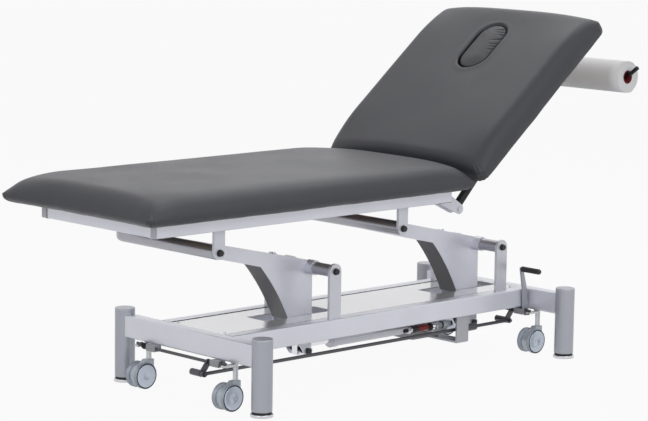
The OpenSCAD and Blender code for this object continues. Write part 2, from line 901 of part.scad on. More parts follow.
// Crowned cushion of half length a and half width b, flat below and drawn in at its ends
module cushion_form(a, b, under, pull) {
    n = 4 * (corner_n + len(side_shares));
    low = len(base_turns);
    insets = concat([for (t = base_turns) under * (1 - sin(t))],
        [for (t = edge_turns) edge_round * (1 - cos(t))],
        [for (s = face_shares) edge_round + s * (b - edge_round)]);
    rings = len(insets);
    pts = [for (k = [0:rings - 1])
        let (i = insets[k])
        for (p = ring_plan(a - i, b - i, max(cushion_corner - i, cushion_corner / 4)))
            [p[0] - pull * (1 - pow(p[1] / b, 2)) * p[0] / a, p[1],
                k < low ? belly * (1 - cos(base_turns[k])) : skin_height(p[0], p[1], a, b)]];
    top = len(pts);
    foot = top + 1;
    faces = concat(
        [for (k = [0:rings - 2], i = [0:n - 1])
            for (f = [[k * n + i, (k + 1) * n + i, k * n + (i + 1) % n],
                [k * n + (i + 1) % n, (k + 1) * n + i, (k + 1) * n + (i + 1) % n]]) f],
        [for (i = [0:n - 1]) [(rings - 1) * n + i, top, (rings - 1) * n + (i + 1) % n]],
        [for (i = [0:n - 1]) [i, (i + 1) % n, foot]]);
    polyhedron(concat(pts, [[0, 0, cushion_t], [0, 0, 0]]), faces);
}

// Outline of the board under a cushion
module board_plan(a, b, under, pull)
    round_rect(2 * (a - under - pull - board_in), 2 * (b - under - board_in), board_corner);

// A cushion wraps round its board, which is let into its base
module wrapped_cushion(a, b, under, pull) {
    difference() {
        cushion_form(a, b, under, pull);
        translate([0, 0, -over]) linear_extrude(board_t + over) board_plan(a, b, under, pull);
    }
}

module seat_board() {
    color("burlywood")
    translate([seat_mid_x, 0, frame_top_z]) linear_extrude(board_t)
        board_plan(seat_half, cushion_w / 2, seat_under, seat_pull);
}

module seat_cushion() {
    color("dimgray")
    translate([seat_mid_x, 0, frame_top_z])
        wrapped_cushion(seat_half, cushion_w / 2, seat_under, seat_pull);
}

module back_board() {
    color("burlywood")
    on_back() translate([back_mid, 0, hinge_drop]) difference() {
        linear_extrude(board_t) board_plan(back_len / 2, cushion_w / 2, back_under, back_pull);
        translate([face_mid - back_mid, 0, -over]) linear_extrude(board_t + 2 * over)
            stadium(face_len, face_w);
    }
}

module back_cushion() {
    color("dimgray")
    on_back() translate([back_mid, 0, hinge_drop]) difference() {
        wrapped_cushion(back_len / 2, cushion_w / 2, back_under, back_pull);
        translate([face_mid - back_mid, 0, -over]) linear_extrude(cushion_t + 2 * over)
            stadium(face_len, face_w);
    }
}

// The plug fills the face opening and stands a little proud in a low dome
module face_plug() {
    l = face_len - 2 * plug_gap;
    w = face_w - 2 * plug_gap;
    crown = cushion_t + plug_rise;
    color("dimgray")
    on_back() translate([face_mid, 0, hinge_drop]) {
        linear_extrude(crown - plug_dome) stadium(l, w);
        for (i = [0:3]) let (c = quarter * (i + 1) / 5)
            translate([0, 0, crown - plug_dome + plug_dome * sin(c) - plug_dome / 2])
                linear_extrude(plug_dome / 2)
                    stadium(l - 4 * plug_dome * (1 - cos(c)), w - 4 * plug_dome * (1 - cos(c)));
    }
}

// Backrest frame

module back_frame() {
    end = back_end - tube_from_end;
    mid_h = hinge_drop - back_tube_h / 2;
    ear_y = plate_y + plate_t + side_gap;
    color("silver")
    on_back() {
        for (sy = [-1, 1]) {
            translate([(back_tube_start + end) / 2, sy * back_tube_y, mid_h])
                along_x(end - back_tube_start)
                    tube_section(back_tube_w, back_tube_h, frame_round, tube_wall);
            translate([0, sy * (ear_y + plate_t / 2), 0]) difference() {
                along_y(plate_t) union() {
                    circle(hinge_eye_r);
                    translate([0, hinge_drop - back_tube_h])
                        square([back_tube_start, back_tube_h - hinge_drop / 4]);
                }
                bar_y(hinge_pin_d + 2 * fit, plate_t + 2 * over);
            }
            // Stud for the gas spring's upper eye
            translate([spring_eye[0], sy * (back_tube_y + back_tube_w / 2 - over), spring_eye[1]])
                rotate([-sy * 90, 0, 0]) {
                    cylinder(d = eye_pin_d, h = spring_y - back_tube_y + eye_t - back_tube_w / 2);
                    cylinder(d = 2 * eye_r, h = plate_t);
                }
        }
        for (s = back_cross_share)
            translate([s * back_len + back_tube_start, 0, mid_h])
                along_y(2 * back_tube_y - back_tube_w)
                    tube_section(back_tube_w, back_tube_h, frame_round, tube_wall);
    }
}

// A path through the given points, with an arc of radius r at each inner one
function rounded(p, r, n) = concat([p[0]],
    [for (k = [1:len(p) - 2])
        let (u = (p[k - 1] - p[k]) / norm(p[k - 1] - p[k]), w = (p[k + 1] - p[k]) / norm(p[k + 1] - p[k]),
            half = acos(u * w) / 2, mid = (u + w) / norm(u + w), c = p[k] + mid * r / sin(half),
            side = (u - w) / norm(u - w), sweep = 90 - half)
        for (i = [0:n]) let (t = sweep * (1 - 2 * i / n)) c - r * (mid * cos(t) - side * sin(t))],
    [p[len(p) - 1]]);

// Round bar of radius r swept along a path, its rings set by one direction across them all
module swept(path, r, across, sides) {
    m = len(path);
    pts = [for (k = [0:m - 1])
        let (t0 = path[min(k + 1, m - 1)] - path[max(k - 1, 0)], t = t0 / norm(t0),
            u0 = across - (across * t) * t, u = u0 / norm(u0), v = cross(t, u))
        for (i = [0:sides - 1]) let (c = 4 * quarter * i / sides) path[k] + r * (u * cos(c) + v * sin(c))];
    polyhedron(pts, concat(
        [[for (i = [0:sides - 1]) i]],
        [for (k = [0:m - 2], i = [0:sides - 1]) let (j = (i + 1) % sides)
            [k * sides + i, (k + 1) * sides + i, (k + 1) * sides + j, k * sides + j]],
        [[for (i = [sides - 1:-1:0]) (m - 1) * sides + i]]));
}

// Bent rod: an arm on the far side, the bar that carries the roll, and an upturned end
module roll_holder() {
    side = back_tube_y + back_tube_w / 2;
    start = [hinge_x + holder_start[0] * cos(back_angle) - holder_start[1] * sin(back_angle),
        holder_far, hinge_z + holder_start[0] * sin(back_angle) + holder_start[1] * cos(back_angle)];
    bend = [roll_x, holder_far, holder_z];
    tip = [roll_x, -holder_near, holder_z];
    arm = (bend - start) / norm(bend - start);
    color("black") {
        on_back() translate([holder_start[0] - back_tube_h / 2, side, hinge_drop - back_tube_h])
            cube([back_tube_h, holder_far - side, holder_d]);
        swept(rounded([start, bend, tip, tip + hook_l * hook_dir], holder_bend, 5), holder_d / 2,
            [-arm[2], 0, arm[0]], 14);
    }
}

module paper_roll() {
    color("white")
    translate([roll_x, 0, roll_z]) difference() {
        bar_y(roll_d, roll_len);
        bar_y(core_d, roll_len + 2 * over);
    }
}

module roll_core() {
    color("saddlebrown")
    translate([roll_x, 0, roll_z]) difference() {
        bar_y(core_d, roll_len);
        bar_y(core_d - 2 * core_wall, roll_len + 2 * over);
    }
}

// Gas springs: the body is held at its lower eye, the rod ends in the upper eye
module on_spring(sy) {
    translate([spring_low[0], sy * spring_y, spring_low[1]]) rotate([0, -spring_angle, 0])
        children();
}

module spring_body(sy) {
    color("black") on_spring(sy) difference() {
        union() {
            bar_y(2 * eye_r, eye_t);
            rotate([0, 90, 0]) {
                cylinder(d = eye_r, h = 2 * eye_r);
                translate([0, 0, eye_r + eye_play])
                    cylinder(d = spring_d, h = spring_body_l - eye_r - eye_play);
            }
        }
        bar_y(eye_pin_d + 2 * fit, eye_t + 2 * over);
        translate([2 * eye_r, 0, 0]) rotate([0, 90, 0])
            cylinder(d = spring_rod_d + 2 * fit, h = spring_body_l);
    }
}

module spring_rod(sy) {
    start = 3 * spring_rod_d + eye_r * 2;
    color("silver") on_spring(sy) difference() {
        union() {
            translate([start, 0, 0]) rotate([0, 90, 0])
                cylinder(d = spring_rod_d, h = spring_span - start - eye_r / 2);
            translate([spring_span, 0, 0]) bar_y(2 * eye_r, eye_t);
        }
        translate([spring_span, 0, 0]) bar_y(eye_pin_d + 2 * eye_play, eye_t + 2 * over);
    }
}

module near_spring_body() { spring_body(-1); }
module near_spring_rod() { spring_rod(-1); }
module far_spring_body() { spring_body(1); }
module far_spring_rod() { spring_rod(1); }

// Caster gear

// Shaft with its crank and the two fingers that press the stems down
module lift_shaft(sx) {
    color("dimgray")
    translate([sx * leg_x - shaft_back, 0, shaft_z]) {
        bar_y(shaft_d, 2 * shaft_half);
        translate([0, crank_y, 0]) along_y(crank_t) bar_plate([0, 0], crank_at, crank_r, crank_r);
        translate([crank_at[0], crank_y + knuckle_l / 2, crank_at[1]]) bar_y(knuckle_d, knuckle_l);
        translate([crank_at[0], link_y, crank_at[1]])
            bar_y(shaft_d, 2 * (crank_y - link_y) + crank_t);
        for (sy = [-1, 1]) {
            translate([0, sy * finger_y, 0]) along_y(finger_t)
                bar_plate([0, 0], finger_at, crank_r, finger_pin_d * 3 / 4);
            translate([finger_at[0], sy * (finger_y + finger_reach / 2), finger_at[1]])
                bar_y(finger_pin_d, finger_reach + finger_t);
        }
    }
}

// Flat plate with a round end of its own radius at each of two points
module bar_plate(a, b, ra, rb) {
    n = 10;
    d = b - a;
    way = atan2(d[1], d[0]);
    lean = acos((ra - rb) / norm(d));
    polygon(concat(
        [for (i = [0:n]) let (c = way + lean + i * (4 * quarter - 2 * lean) / n)
            a + ra * [cos(c), sin(c)]],
        [for (i = [0:n]) let (c = way - lean + i * 2 * lean / n) b + rb * [cos(c), sin(c)]]));
}

module foot_shaft() { lift_shaft(-1); }
module head_shaft() { lift_shaft(1); }

module hand_lever() {
    pin_l = lever_t / 2 + grip_l - grip_d / 2;
    color("slategray")
    translate([leg_x - shaft_back, lever_y, shaft_z]) difference() {
        union() {
            along_y(lever_t) union() {
                bar_plate([0, 0], lever_mid, lever_boss_r, lever_w / 2);
                bar_plate(lever_mid, lever_top, lever_w / 2, lever_w / 3);
            }
            translate([lever_top[0], -pin_l / 2, lever_top[1]]) bar_y(shaft_d / 2, pin_l);
        }
        bar_y(shaft_d + 2 * weld_gap, lever_t + 2 * over);
    }
}

module lever_grip() {
    bore = shaft_d / 2 + 2 * fit;
    color("black")
    translate([leg_x - shaft_back + lever_top[0], lever_y - lever_t / 2 - side_gap,
        shaft_z + lever_top[1]]) rotate([90, 0, 0]) difference() {
            union() {
                cylinder(d = grip_d, h = grip_l - grip_d / 2);
                translate([0, 0, grip_l - grip_d / 2]) sphere(d = grip_d);
            }
            translate([0, 0, -over]) cylinder(d = bore, h = grip_l - grip_d / 2 + over);
        }
}

module link_rod() {
    x0 = -leg_x - shaft_back + crank_at[0];
    x1 = leg_x - shaft_back + crank_at[0];
    color("dimgray")
    translate([0, link_y, shaft_z + crank_at[1]]) difference() {
        union() {
            translate([(x0 + x1) / 2, 0, 0]) rotate([0, 90, 0])
                cylinder(d = link_d, h = x1 - x0, center = true);
            for (x = [x0, x1]) translate([x, 0, 0]) bar_y(2 * link_eye_r, link_d);
            translate([coupler_x, 0, 0]) rotate([0, 90, 0])
                cylinder(d = coupler_d, h = coupler_l, center = true);
        }
        translate([x1, 0, 0]) bar_y(shaft_d + 2 * fit, link_d + 2 * over);
        translate([x0, 0, 0]) bar_y(shaft_d + 2 * loop_gap, link_d + 2 * over);
    }
}

// Stems with the plate that the finger presses on
module caster_stems() {
    plate_x = shaft_back - finger_at[0] + finger_pin_d;
    plate_top = shaft_z + finger_at[1] - finger_pin_d / 2 - loop_gap;
    color("white")
    for (sx = [-1, 1], sy = [-1, 1]) translate([sx * leg_x, sy * stem_y, 0]) {
        translate([0, 0, stem_base_z]) cylinder(d = stem_d, h = stem_top - stem_base_z);
        translate([0, 0, stem_base_z - swivel_l]) cylinder(d = swivel_d, h = swivel_l + over);
        translate([-plate_x / 2, 0, plate_top - arm_plate_t / 2])
            cube([plate_x, stem_d, arm_plate_t], center = true);
    }
}

module at_caster(sx, sy) translate([sx * leg_x, sy * stem_y, 0]) children();

module hood(sx, sy) {
    color("lightslategray")
    at_caster(sx, sy) difference() {
        union() {
            translate([-trail, 0, axle_z]) along_y(hood_t) circle(hood_r);
            translate([0, 0, axle_z]) along_y(hood_t)
                polygon([[-trail, 0], [-trail, hood_r], [-stem_d, fork_top - axle_z],
                    [stem_d * 3 / 4, fork_top - axle_z], [stem_d * 3 / 4, hood_r / 3]]);
            translate([0, 0, axle_z + hood_r / 3])
                cylinder(r = wheel_gap - side_gap, h = fork_top - axle_z - hood_r / 3);
        }
        translate([0, 0, stem_base_z - swivel_l - over])
            cylinder(d = swivel_d + 2 * fit, h = swivel_l + 2 * over);
        translate([-trail, 0, axle_z]) bar_y(axle_d + 2 * fit, hood_t + 2 * over);
    }
}

// Twin wheels on one axle, each with a bevelled tread and a shallow dished face
module wheels(sx, sy) {
    r = wheel_d / 2;
    color("lightslategray")
    at_caster(sx, sy) translate([-trail, 0, axle_z]) {
        for (s = [-1, 1]) rotate([s * 90, 0, 0]) translate([0, 0, wheel_gap]) rotate_extrude()
            polygon([[0, 0], [r - rim_bevel, 0], [r, rim_bevel], [r, wheel_t - rim_bevel],
                [r - rim_bevel, wheel_t], [r - 2 * rim_bevel, wheel_t - rim_bevel / 2],
                [hub_d / 2, wheel_t - rim_bevel / 3], [0, wheel_t]]);
        bar_y(axle_d, 2 * wheel_gap + wheel_t);
    }
}

module near_foot_hood() { hood(-1, -1); }
module far_foot_hood() { hood(-1, 1); }
module near_head_hood() { hood(1, -1); }
module far_head_hood() { hood(1, 1); }
module near_foot_wheels() { wheels(-1, -1); }
module far_foot_wheels() { wheels(-1, 1); }
module near_head_wheels() { wheels(1, -1); }
module far_head_wheels() { wheels(1, 1); }

legs();
leg_caps();
foot_rings();
foot_discs();
cross_rails();
long_rails();
cover_plate();
cover_screws();
posts();
post_bolts();
shaft_blocks();
stem_guides();
pump_cradle();
pump_body();
pump_reservoir();
release_valve();
foot_arm_box();
foot_arm_tubes();
foot_lever_pins();
head_arm_box();
head_arm_tubes();
head_lever_pins();
tie_bar();
ram_barrel();
ram_rod();
pedal_lever();
pedal_pad();
frame_rails();
frame_tabs();
tab_bolts();
spring_brackets();
hinge_plates();
hinge_pins();
seat_board();
seat_cushion();
back_frame();
back_board();
back_cushion();
roll_holder();
face_plug();
near_spring_body();
near_spring_rod();
far_spring_body();
far_spring_rod();
paper_roll();
roll_core();
foot_shaft();
head_shaft();
hand_lever();
lever_grip();
link_rod();
caster_stems();
near_foot_hood();
far_foot_hood();
near_head_hood();
far_head_hood();
near_foot_wheels();
far_foot_wheels();
near_head_wheels();
far_head_wheels();
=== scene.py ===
"""Hydraulic treatment table: upholstery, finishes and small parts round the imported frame."""
import json
import math
import random

import bmesh
import bpy
from mathutils import Matrix, Vector, noise


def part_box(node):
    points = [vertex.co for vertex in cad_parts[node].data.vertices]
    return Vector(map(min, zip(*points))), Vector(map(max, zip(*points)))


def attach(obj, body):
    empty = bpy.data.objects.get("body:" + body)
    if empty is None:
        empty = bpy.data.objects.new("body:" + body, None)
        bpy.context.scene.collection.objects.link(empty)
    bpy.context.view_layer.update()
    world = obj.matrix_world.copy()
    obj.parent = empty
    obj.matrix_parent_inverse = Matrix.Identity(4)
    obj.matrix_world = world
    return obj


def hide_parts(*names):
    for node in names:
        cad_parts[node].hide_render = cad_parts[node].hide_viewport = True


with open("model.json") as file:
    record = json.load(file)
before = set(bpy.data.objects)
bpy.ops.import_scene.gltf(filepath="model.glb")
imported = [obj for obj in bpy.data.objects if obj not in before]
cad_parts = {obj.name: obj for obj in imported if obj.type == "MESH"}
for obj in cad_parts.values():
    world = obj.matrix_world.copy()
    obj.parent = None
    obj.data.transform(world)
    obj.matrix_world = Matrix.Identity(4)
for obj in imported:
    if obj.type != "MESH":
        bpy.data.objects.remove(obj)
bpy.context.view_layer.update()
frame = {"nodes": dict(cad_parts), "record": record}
nodes = frame["nodes"]
scene = bpy.context.scene

# Camera

CAMERA_AT = (-5.31186, -5.47044, 1.62064)
CAMERA_YAW = 0.7588
CAMERA_PITCH = 0.1454
CAMERA_ROLL = 0.01436
PHOTO_W = 648
FOCAL_PX = 2456.6
SENSOR_MM = 36.0
SIGHT_END = 100


def place_camera():
    cy, sy = math.cos(CAMERA_YAW), math.sin(CAMERA_YAW)
    cp, sp = math.cos(CAMERA_PITCH), math.sin(CAMERA_PITCH)
    look = Vector((sy * cp, cy * cp, -sp))
    right = Vector((cy, -sy, 0))
    up = right.cross(look)
    cr, sr = math.cos(CAMERA_ROLL), math.sin(CAMERA_ROLL)
    tilted_right = cr * right + sr * up
    tilted_up = cr * up - sr * right
    data = bpy.data.cameras.new("photo_camera")
    data.sensor_width = SENSOR_MM
    data.lens = FOCAL_PX * SENSOR_MM / PHOTO_W
    data.clip_end = SIGHT_END
    cam = bpy.data.objects.new("photo_camera", data)
    scene.collection.objects.link(cam)
    turn = Matrix((tilted_right, tilted_up, -look)).transposed().to_4x4()
    cam.matrix_world = Matrix.Translation(CAMERA_AT) @ turn
    scene.camera = cam


place_camera()

# Finishes

# Sockets of a colour mix
MIX_FACTOR, MIX_A, MIX_B, MIX_RESULT = 0, 6, 7, 2
# Slow mottle, and the share of a pebble that its edge takes
MOTTLE_SIZE, MOTTLE_DETAIL = 9, 4
PEBBLE_EDGE = 0.25
# Cloudy wipes, and scratches drawn out along one direction
WIPE_DETAIL, WIPE_ROUGH = 5, 0.6
SCRATCH_TURN = (0.4, 0.9, 0.3)
SCRATCH_STRETCH = (1, 0.05, 1)
SCRATCH_DETAIL = 2
SCRATCH_FROM, SCRATCH_FULL = 0.66, 0.72


def preset(node, values):
    for label, value in values.items():
        node.inputs[label].default_value = value


def new_group(name, inputs, outputs):
    """Shader group with named sockets; each input is (name, value)."""
    tree = bpy.data.node_groups.new(name, "ShaderNodeTree")
    for label, value in inputs:
        s = tree.interface.new_socket(name=label, in_out="INPUT", socket_type="NodeSocketFloat")
        s.default_value = value
    for label in outputs:
        tree.interface.new_socket(name=label, in_out="OUTPUT", socket_type="NodeSocketFloat")
    return tree, tree.nodes.new("NodeGroupInput"), tree.nodes.new("NodeGroupOutput")


def noise_node(tree, place, scale, detail=3.0, rough=0.5):
    tex = tree.nodes.new("ShaderNodeTexNoise")
    preset(tex, {"Detail": detail, "Roughness": rough})
    tree.links.new(place, tex.inputs["Vector"])
    if isinstance(scale, (int, float)):
        tex.inputs["Scale"].default_value = scale
    else:
        tree.links.new(scale, tex.inputs["Scale"])
    return tex


def grain_group():
    """Fine pitted or pebbled surface: a height that changes over the surface, and a slow mottle."""
    tree, gin, gout = new_group(
        "surface_grain", [("Size", 800.0), ("Cell Share", 0.5)], ["Height", "Mottle"])
    n, link = tree.nodes, tree.links
    place = n.new("ShaderNodeTexCoord").outputs["Object"]
    cells = n.new("ShaderNodeTexVoronoi")
    cells.feature = "DISTANCE_TO_EDGE"
    link.new(place, cells.inputs["Vector"])
    link.new(gin.outputs["Size"], cells.inputs["Scale"])
    fine = noise_node(tree, place, gin.outputs["Size"])
    slow = noise_node(tree, place, MOTTLE_SIZE, MOTTLE_DETAIL)
    edge = n.new("ShaderNodeMapRange")
    edge.inputs["From Max"].default_value = PEBBLE_EDGE
    mix = n.new("ShaderNodeMix")
    link.new(cells.outputs["Distance"], edge.inputs["Value"])
    link.new(gin.outputs["Cell Share"], mix.inputs["Factor"])
    link.new(fine.outputs["Fac"], mix.inputs["A"])
    link.new(edge.outputs["Result"], mix.inputs["B"])
    link.new(mix.outputs["Result"], gout.inputs["Height"])
    link.new(slow.outputs["Fac"], gout.inputs["Mottle"])
    return tree


def handling_group():
    """Marks of use: faint cloudy wipes and a few fine scratches, as a mask from 0 to 1."""
    tree, gin, gout = new_group(
        "handling_marks", [("Wipe Size", 6.0), ("Scratch Size", 60.0), ("Scratches", 0.3)],
        ["Mask"])
    n, link = tree.nodes, tree.links
    place = n.new("ShaderNodeTexCoord").outputs["Object"]
    wipe = noise_node(tree, place, gin.outputs["Wipe Size"], WIPE_DETAIL, WIPE_ROUGH)
    turn = n.new("ShaderNodeMapping")
    preset(turn, {"Rotation": SCRATCH_TURN, "Scale": SCRATCH_STRETCH})
    link.new(place, turn.inputs["Vector"])
    lines = noise_node(tree, turn.outputs["Vector"], gin.outputs["Scratch Size"], SCRATCH_DETAIL)
    thin = n.new("ShaderNodeMapRange")
    preset(thin, {"From Min": SCRATCH_FROM, "From Max": SCRATCH_FULL})
    share = n.new("ShaderNodeMath")
    share.operation = "MULTIPLY"
    both = n.new("ShaderNodeMath")
    both.operation = "ADD"
    both.use_clamp = True
    link.new(lines.outputs["Fac"], thin.inputs["Value"])
    link.new(thin.outputs["Result"], share.inputs[0])
    link.new(gin.outputs["Scratches"], share.inputs[1])
    link.new(wipe.outputs["Fac"], both.inputs[0])
    link.new(share.outputs[0], both.inputs[1])
    link.new(both.outputs[0], gout.inputs["Mask"])
    return tree


GRAIN = grain_group()
HANDLING = handling_group()
# Size of a grain, share of pebbles and strength
PLAIN_GRAIN = (900, 0.0, 0.02)
PAINT_GRAIN = (1300, 0.0, 0.12)
SMOOTHEST = 0.02


def colour_mix(tree, first, second, share, into):
    """Blends two colours by a mask and feeds the result into a socket."""
    mix = tree.nodes.new("ShaderNodeMix")
    mix.data_type = "RGBA"
    mix.inputs[MIX_A].default_value = (*first, 1)
    mix.inputs[MIX_B].default_value = (*second, 1)
    tree.links.new(share, mix.inputs[MIX_FACTOR])
    tree.links.new(mix.outputs[MIX_RESULT], into)


def finish(name, colour, rough, metallic=0.0, grain=PLAIN_GRAIN, vary=0.06, specular=0.5,
           spread=0.08, scratches=0.2, relief=0.001):
    """One finish: colour with slow variation, worn roughness and a fine surface relief."""
    mat = bpy.data.materials.new(name)
    mat.use_nodes = True
    tree = mat.node_tree
    n, link = tree.nodes, tree.links
    shader = n["Principled BSDF"]
    preset(shader, {"Metallic": metallic, "Specular IOR Level": specular})
    size, pebbles, strength = grain
    g = n.new("ShaderNodeGroup")
    g.node_tree = GRAIN
    preset(g, {"Size": size, "Cell Share": pebbles})
    h = n.new("ShaderNodeGroup")
    h.node_tree = HANDLING
    h.inputs["Scratches"].default_value = scratches
    colour_mix(tree, [c * (1 - vary) for c in colour], [min(1, c * (1 + vary)) for c in colour],
               g.outputs["Mottle"], shader.inputs["Base Color"])
    roughness = n.new("ShaderNodeMapRange")
    preset(roughness, {"To Min": max(SMOOTHEST, rough - spread), "To Max": min(1, rough + spread)})
    link.new(h.outputs["Mask"], roughness.inputs["Value"])
    link.new(roughness.outputs["Result"], shader.inputs["Roughness"])
    bump = n.new("ShaderNodeBump")
    preset(bump, {"Strength": strength, "Distance": relief})
    link.new(g.outputs["Height"], bump.inputs["Height"])
    link.new(bump.outputs["Normal"], shader.inputs["Normal"])
    return mat


PLY_MEAN, PLY_ROUGH = (0.45, 0.3, 0.17), 0.6
PLY_DARK, PLY_LIGHT = (0.3, 0.17, 0.08), (0.56, 0.41, 0.25)
PLY_LAYERS = ("Z", {"Scale": 105, "Distortion": 0.4})
PLY_GRAIN = ("Y", {"Scale": 14, "Distortion": 9, "Detail": 3, "Detail Scale": 0.4})
PLY_GRAIN_SHARE = 0.4


def ply_finish(name, lean):
    """Birch ply: long grain on the faces and thin layers on the edges of a board that leans."""
    mat = finish(name, PLY_MEAN, PLY_ROUGH, grain=(300, 0, 0.3), vary=0.2)
    tree = mat.node_tree
    n, link = tree.nodes, tree.links
    turn = n.new("ShaderNodeMapping")
    turn.vector_type = "TEXTURE"
    turn.inputs["Rotation"].default_value = (0, -lean, 0)
    link.new(n.new("ShaderNodeTexCoord").outputs["Object"], turn.inputs["Vector"])
    blend = n.new("ShaderNodeMix")
    blend.inputs["Factor"].default_value = PLY_GRAIN_SHARE
    for socket, (across, values) in (("A", PLY_LAYERS), ("B", PLY_GRAIN)):
        wave = n.new("ShaderNodeTexWave")
        wave.bands_direction = across
        preset(wave, values)
        link.new(turn.outputs["Vector"], wave.inputs["Vector"])
        link.new(wave.outputs["Fac"], blend.inputs[socket])
    colour_mix(tree, PLY_DARK, PLY_LIGHT, blend.outputs["Result"],
               n["Principled BSDF"].inputs["Base Color"])
    return mat


VINYL = (0.053, 0.054, 0.063)
# The face plug is darker than the cushions, by this factor
PLUG_DARKER = 0.72
VINYL_ROUGH = 0.4
VINYL_LOOK = {"grain": (950, 0.7, 0.35), "vary": 0.05, "spread": 0.07, "scratches": 0.1,
              "relief": 0.0006, "specular": 0.35}
CREASE_SIZE, CREASE_DETAIL, CREASE_ROUGH = 46, 4, 0.55
CREASE_RELIEF = {"Strength": 0.22, "Distance": 0.0012}


def vinyl_finish(name, colour):
    """Dark grey upholstery vinyl: a pebbled grain, fine creases and a soft gloss worn uneven."""
    mat = finish(name, colour, VINYL_ROUGH, **VINYL_LOOK)
    tree = mat.node_tree
    n, link = tree.nodes, tree.links
    place = n.new("ShaderNodeTexCoord").outputs["Object"]
    crease = noise_node(tree, place, CREASE_SIZE, CREASE_DETAIL, CREASE_ROUGH)
    first = next(b for b in n if b.type == "BUMP")
    second = n.new("ShaderNodeBump")
    preset(second, CREASE_RELIEF)
    link.new(crease.outputs["Fac"], second.inputs["Height"])
    link.new(second.outputs["Normal"], first.inputs["Normal"])
    return mat


BACK_ANGLE = math.radians(39)
PAINTED = {"grain": PAINT_GRAIN}
MOULDED = {"grain": (1100, 0, 0.1)}
# Colour, roughness and whatever else sets a finish apart
LOOKS = {
    "leg_paint": ((0.44, 0.455, 0.505), 0.36, {"metallic": 0.45, **PAINTED}),
    "cap_plastic": ((0.52, 0.53, 0.58), 0.4, {"metallic": 0.4, "grain": (1500, 0, 0.08)}),
    "black_rubber": ((0.02, 0.02, 0.022), 0.75, {"grain": (700, 0, 0.3)}),
    "bright_steel": ((0.62, 0.62, 0.65), 0.26, {"metallic": 1}),
    "frame_paint": ((0.75, 0.76, 0.83), 0.34, {"metallic": 0.5, **PAINTED}),
    "cover_paint": ((0.80, 0.80, 0.82), 0.16,
                    {"metallic": 0.55, "grain": (1200, 0, 0.03), "spread": 0.05}),
    "light_paint": ((0.65, 0.655, 0.715), 0.34, {"metallic": 0.45, **PAINTED}),
    "black_bolt": ((0.018, 0.018, 0.022), 0.35, {"specular": 0.4}),
    "block_plastic": ((0.45, 0.46, 0.48), 0.5, {}),
    "cradle_paint": ((0.45, 0.455, 0.49), 0.38, {"metallic": 0.6, **PAINTED}),
    "pump_casting": ((0.3, 0.3, 0.32), 0.5, {"metallic": 0.7, "grain": (500, 0, 0.4)}),
    "tank_plastic": ((0.8, 0.84, 0.88), 0.35, {}),
    "valve_red": ((0.3, 0.02, 0.02), 0.3, {}),
    # tube_paint is darker than frame_paint as painted shade: these tubes carry the frame's paint
    # and lie in the couch's shadow
    "tube_paint": ((0.42, 0.42, 0.46), 0.3, {"metallic": 0.75, **PAINTED}),
    "rod_chrome": ((0.75, 0.75, 0.78), 0.1, {"metallic": 1, "spread": 0.03}),
    "black_paint": ((0.010, 0.010, 0.012), 0.4, {"specular": 0.25}),
    "paper": ((0.93, 0.93, 0.94), 0.85,
              {"grain": (1500, 0.3, 0.1), "vary": 0.02, "scratches": 0.0}),
    "core_card": ((0.22, 0.03, 0.035), 0.8, {"grain": (700, 0, 0.2)}),
    "shaft_steel": ((0.10, 0.10, 0.11), 0.35, {"metallic": 0.7}),
    "grip_plastic": ((0.02, 0.02, 0.022), 0.5, {}),
    "stem_white": ((0.74, 0.75, 0.78), 0.28, {"metallic": 0.4}),
    "hood_plastic": ((0.52, 0.57, 0.62), 0.36, {"metallic": 0.35, **MOULDED}),
    "wheel_plastic": ((0.62, 0.68, 0.78), 0.34, {"metallic": 0.5, **MOULDED}),
    "tread": ((0.40, 0.44, 0.50), 0.45, {"metallic": 0.35, "grain": (900, 0, 0.2)}),
    # Dark grey for the sheet on the gussets' hollow faces: painted shade
    "painted_gusset_shade": ((0.16, 0.16, 0.17), 0.5, {"metallic": 0.3, "grain": (700, 0, 0.25)}),
    "end_cap": ((0.50, 0.50, 0.55), 0.4, {"metallic": 0.3, "grain": (1500, 0, 0.1)}),
}
FINISHES = {name: finish(name, colour, rough, **more)
            for name, (colour, rough, more) in LOOKS.items()}
FINISHES["plywood"] = ply_finish("plywood", 0.0)
FINISHES["back_plywood"] = ply_finish("back_plywood", BACK_ANGLE)
FINISHES["vinyl"] = vinyl_finish("vinyl", VINYL)
FINISHES["plug_vinyl"] = vinyl_finish("plug_vinyl", [PLUG_DARKER * c for c in VINYL])

slot_of = {s["node"]: s["material_slot"] for s in frame["record"]["subparts"]}
for node_name, obj in nodes.items():
    mat = FINISHES.get(slot_of[node_name], FINISHES["vinyl"])
    if node_name == "back_board":
        mat = FINISHES["back_plywood"]
    obj.data.materials.clear()
    obj.data.materials.append(mat)

# Making pieces

MERGE, FINE_MERGE = 0.00005, 0.00001
SLIVER = 1e-6
# How close to its axis a turned section comes, before its ends are closed
AXIS_R, MIDDLE_R = 0.0003, 0.0005


def mesh_object(name, verts, faces, mat, smooth=True):
    me = bpy.data.meshes.new(name)
    me.from_pydata([tuple(v) for v in verts], [], faces)
    me.validate()
    me.materials.append(mat)
    ob = bpy.data.objects.new(name, me)
    scene.collection.objects.link(ob)
    for p in me.polygons:
        p.use_smooth = smooth
    return ob


def clean(ob, merge=MERGE):
    """Merges what coincides and turns every face outwards."""
    bm = bmesh.new()
    bm.from_mesh(ob.data)
    bmesh.ops.remove_doubles(bm, verts=bm.verts, dist=merge)
    bmesh.ops.dissolve_degenerate(bm, edges=bm.edges, dist=SLIVER)
    bmesh.ops.recalc_face_normals(bm, faces=bm.faces)
    bm.to_mesh(ob.data)
    bm.free()
    ob.data.update()
    return ob


def settle(ob, matrix):
    ob.data.transform(matrix)
    ob.data.update()
    return ob


def mount(ob, body, slot, *replaced):
    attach(ob, body)
    if replaced:
        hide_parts(*replaced)
    return ob


def applied(ob):
    """The mesh as its modifiers leave it."""
    return bpy.data.meshes.new_from_object(
        ob.evaluated_get(bpy.context.evaluated_depsgraph_get()))


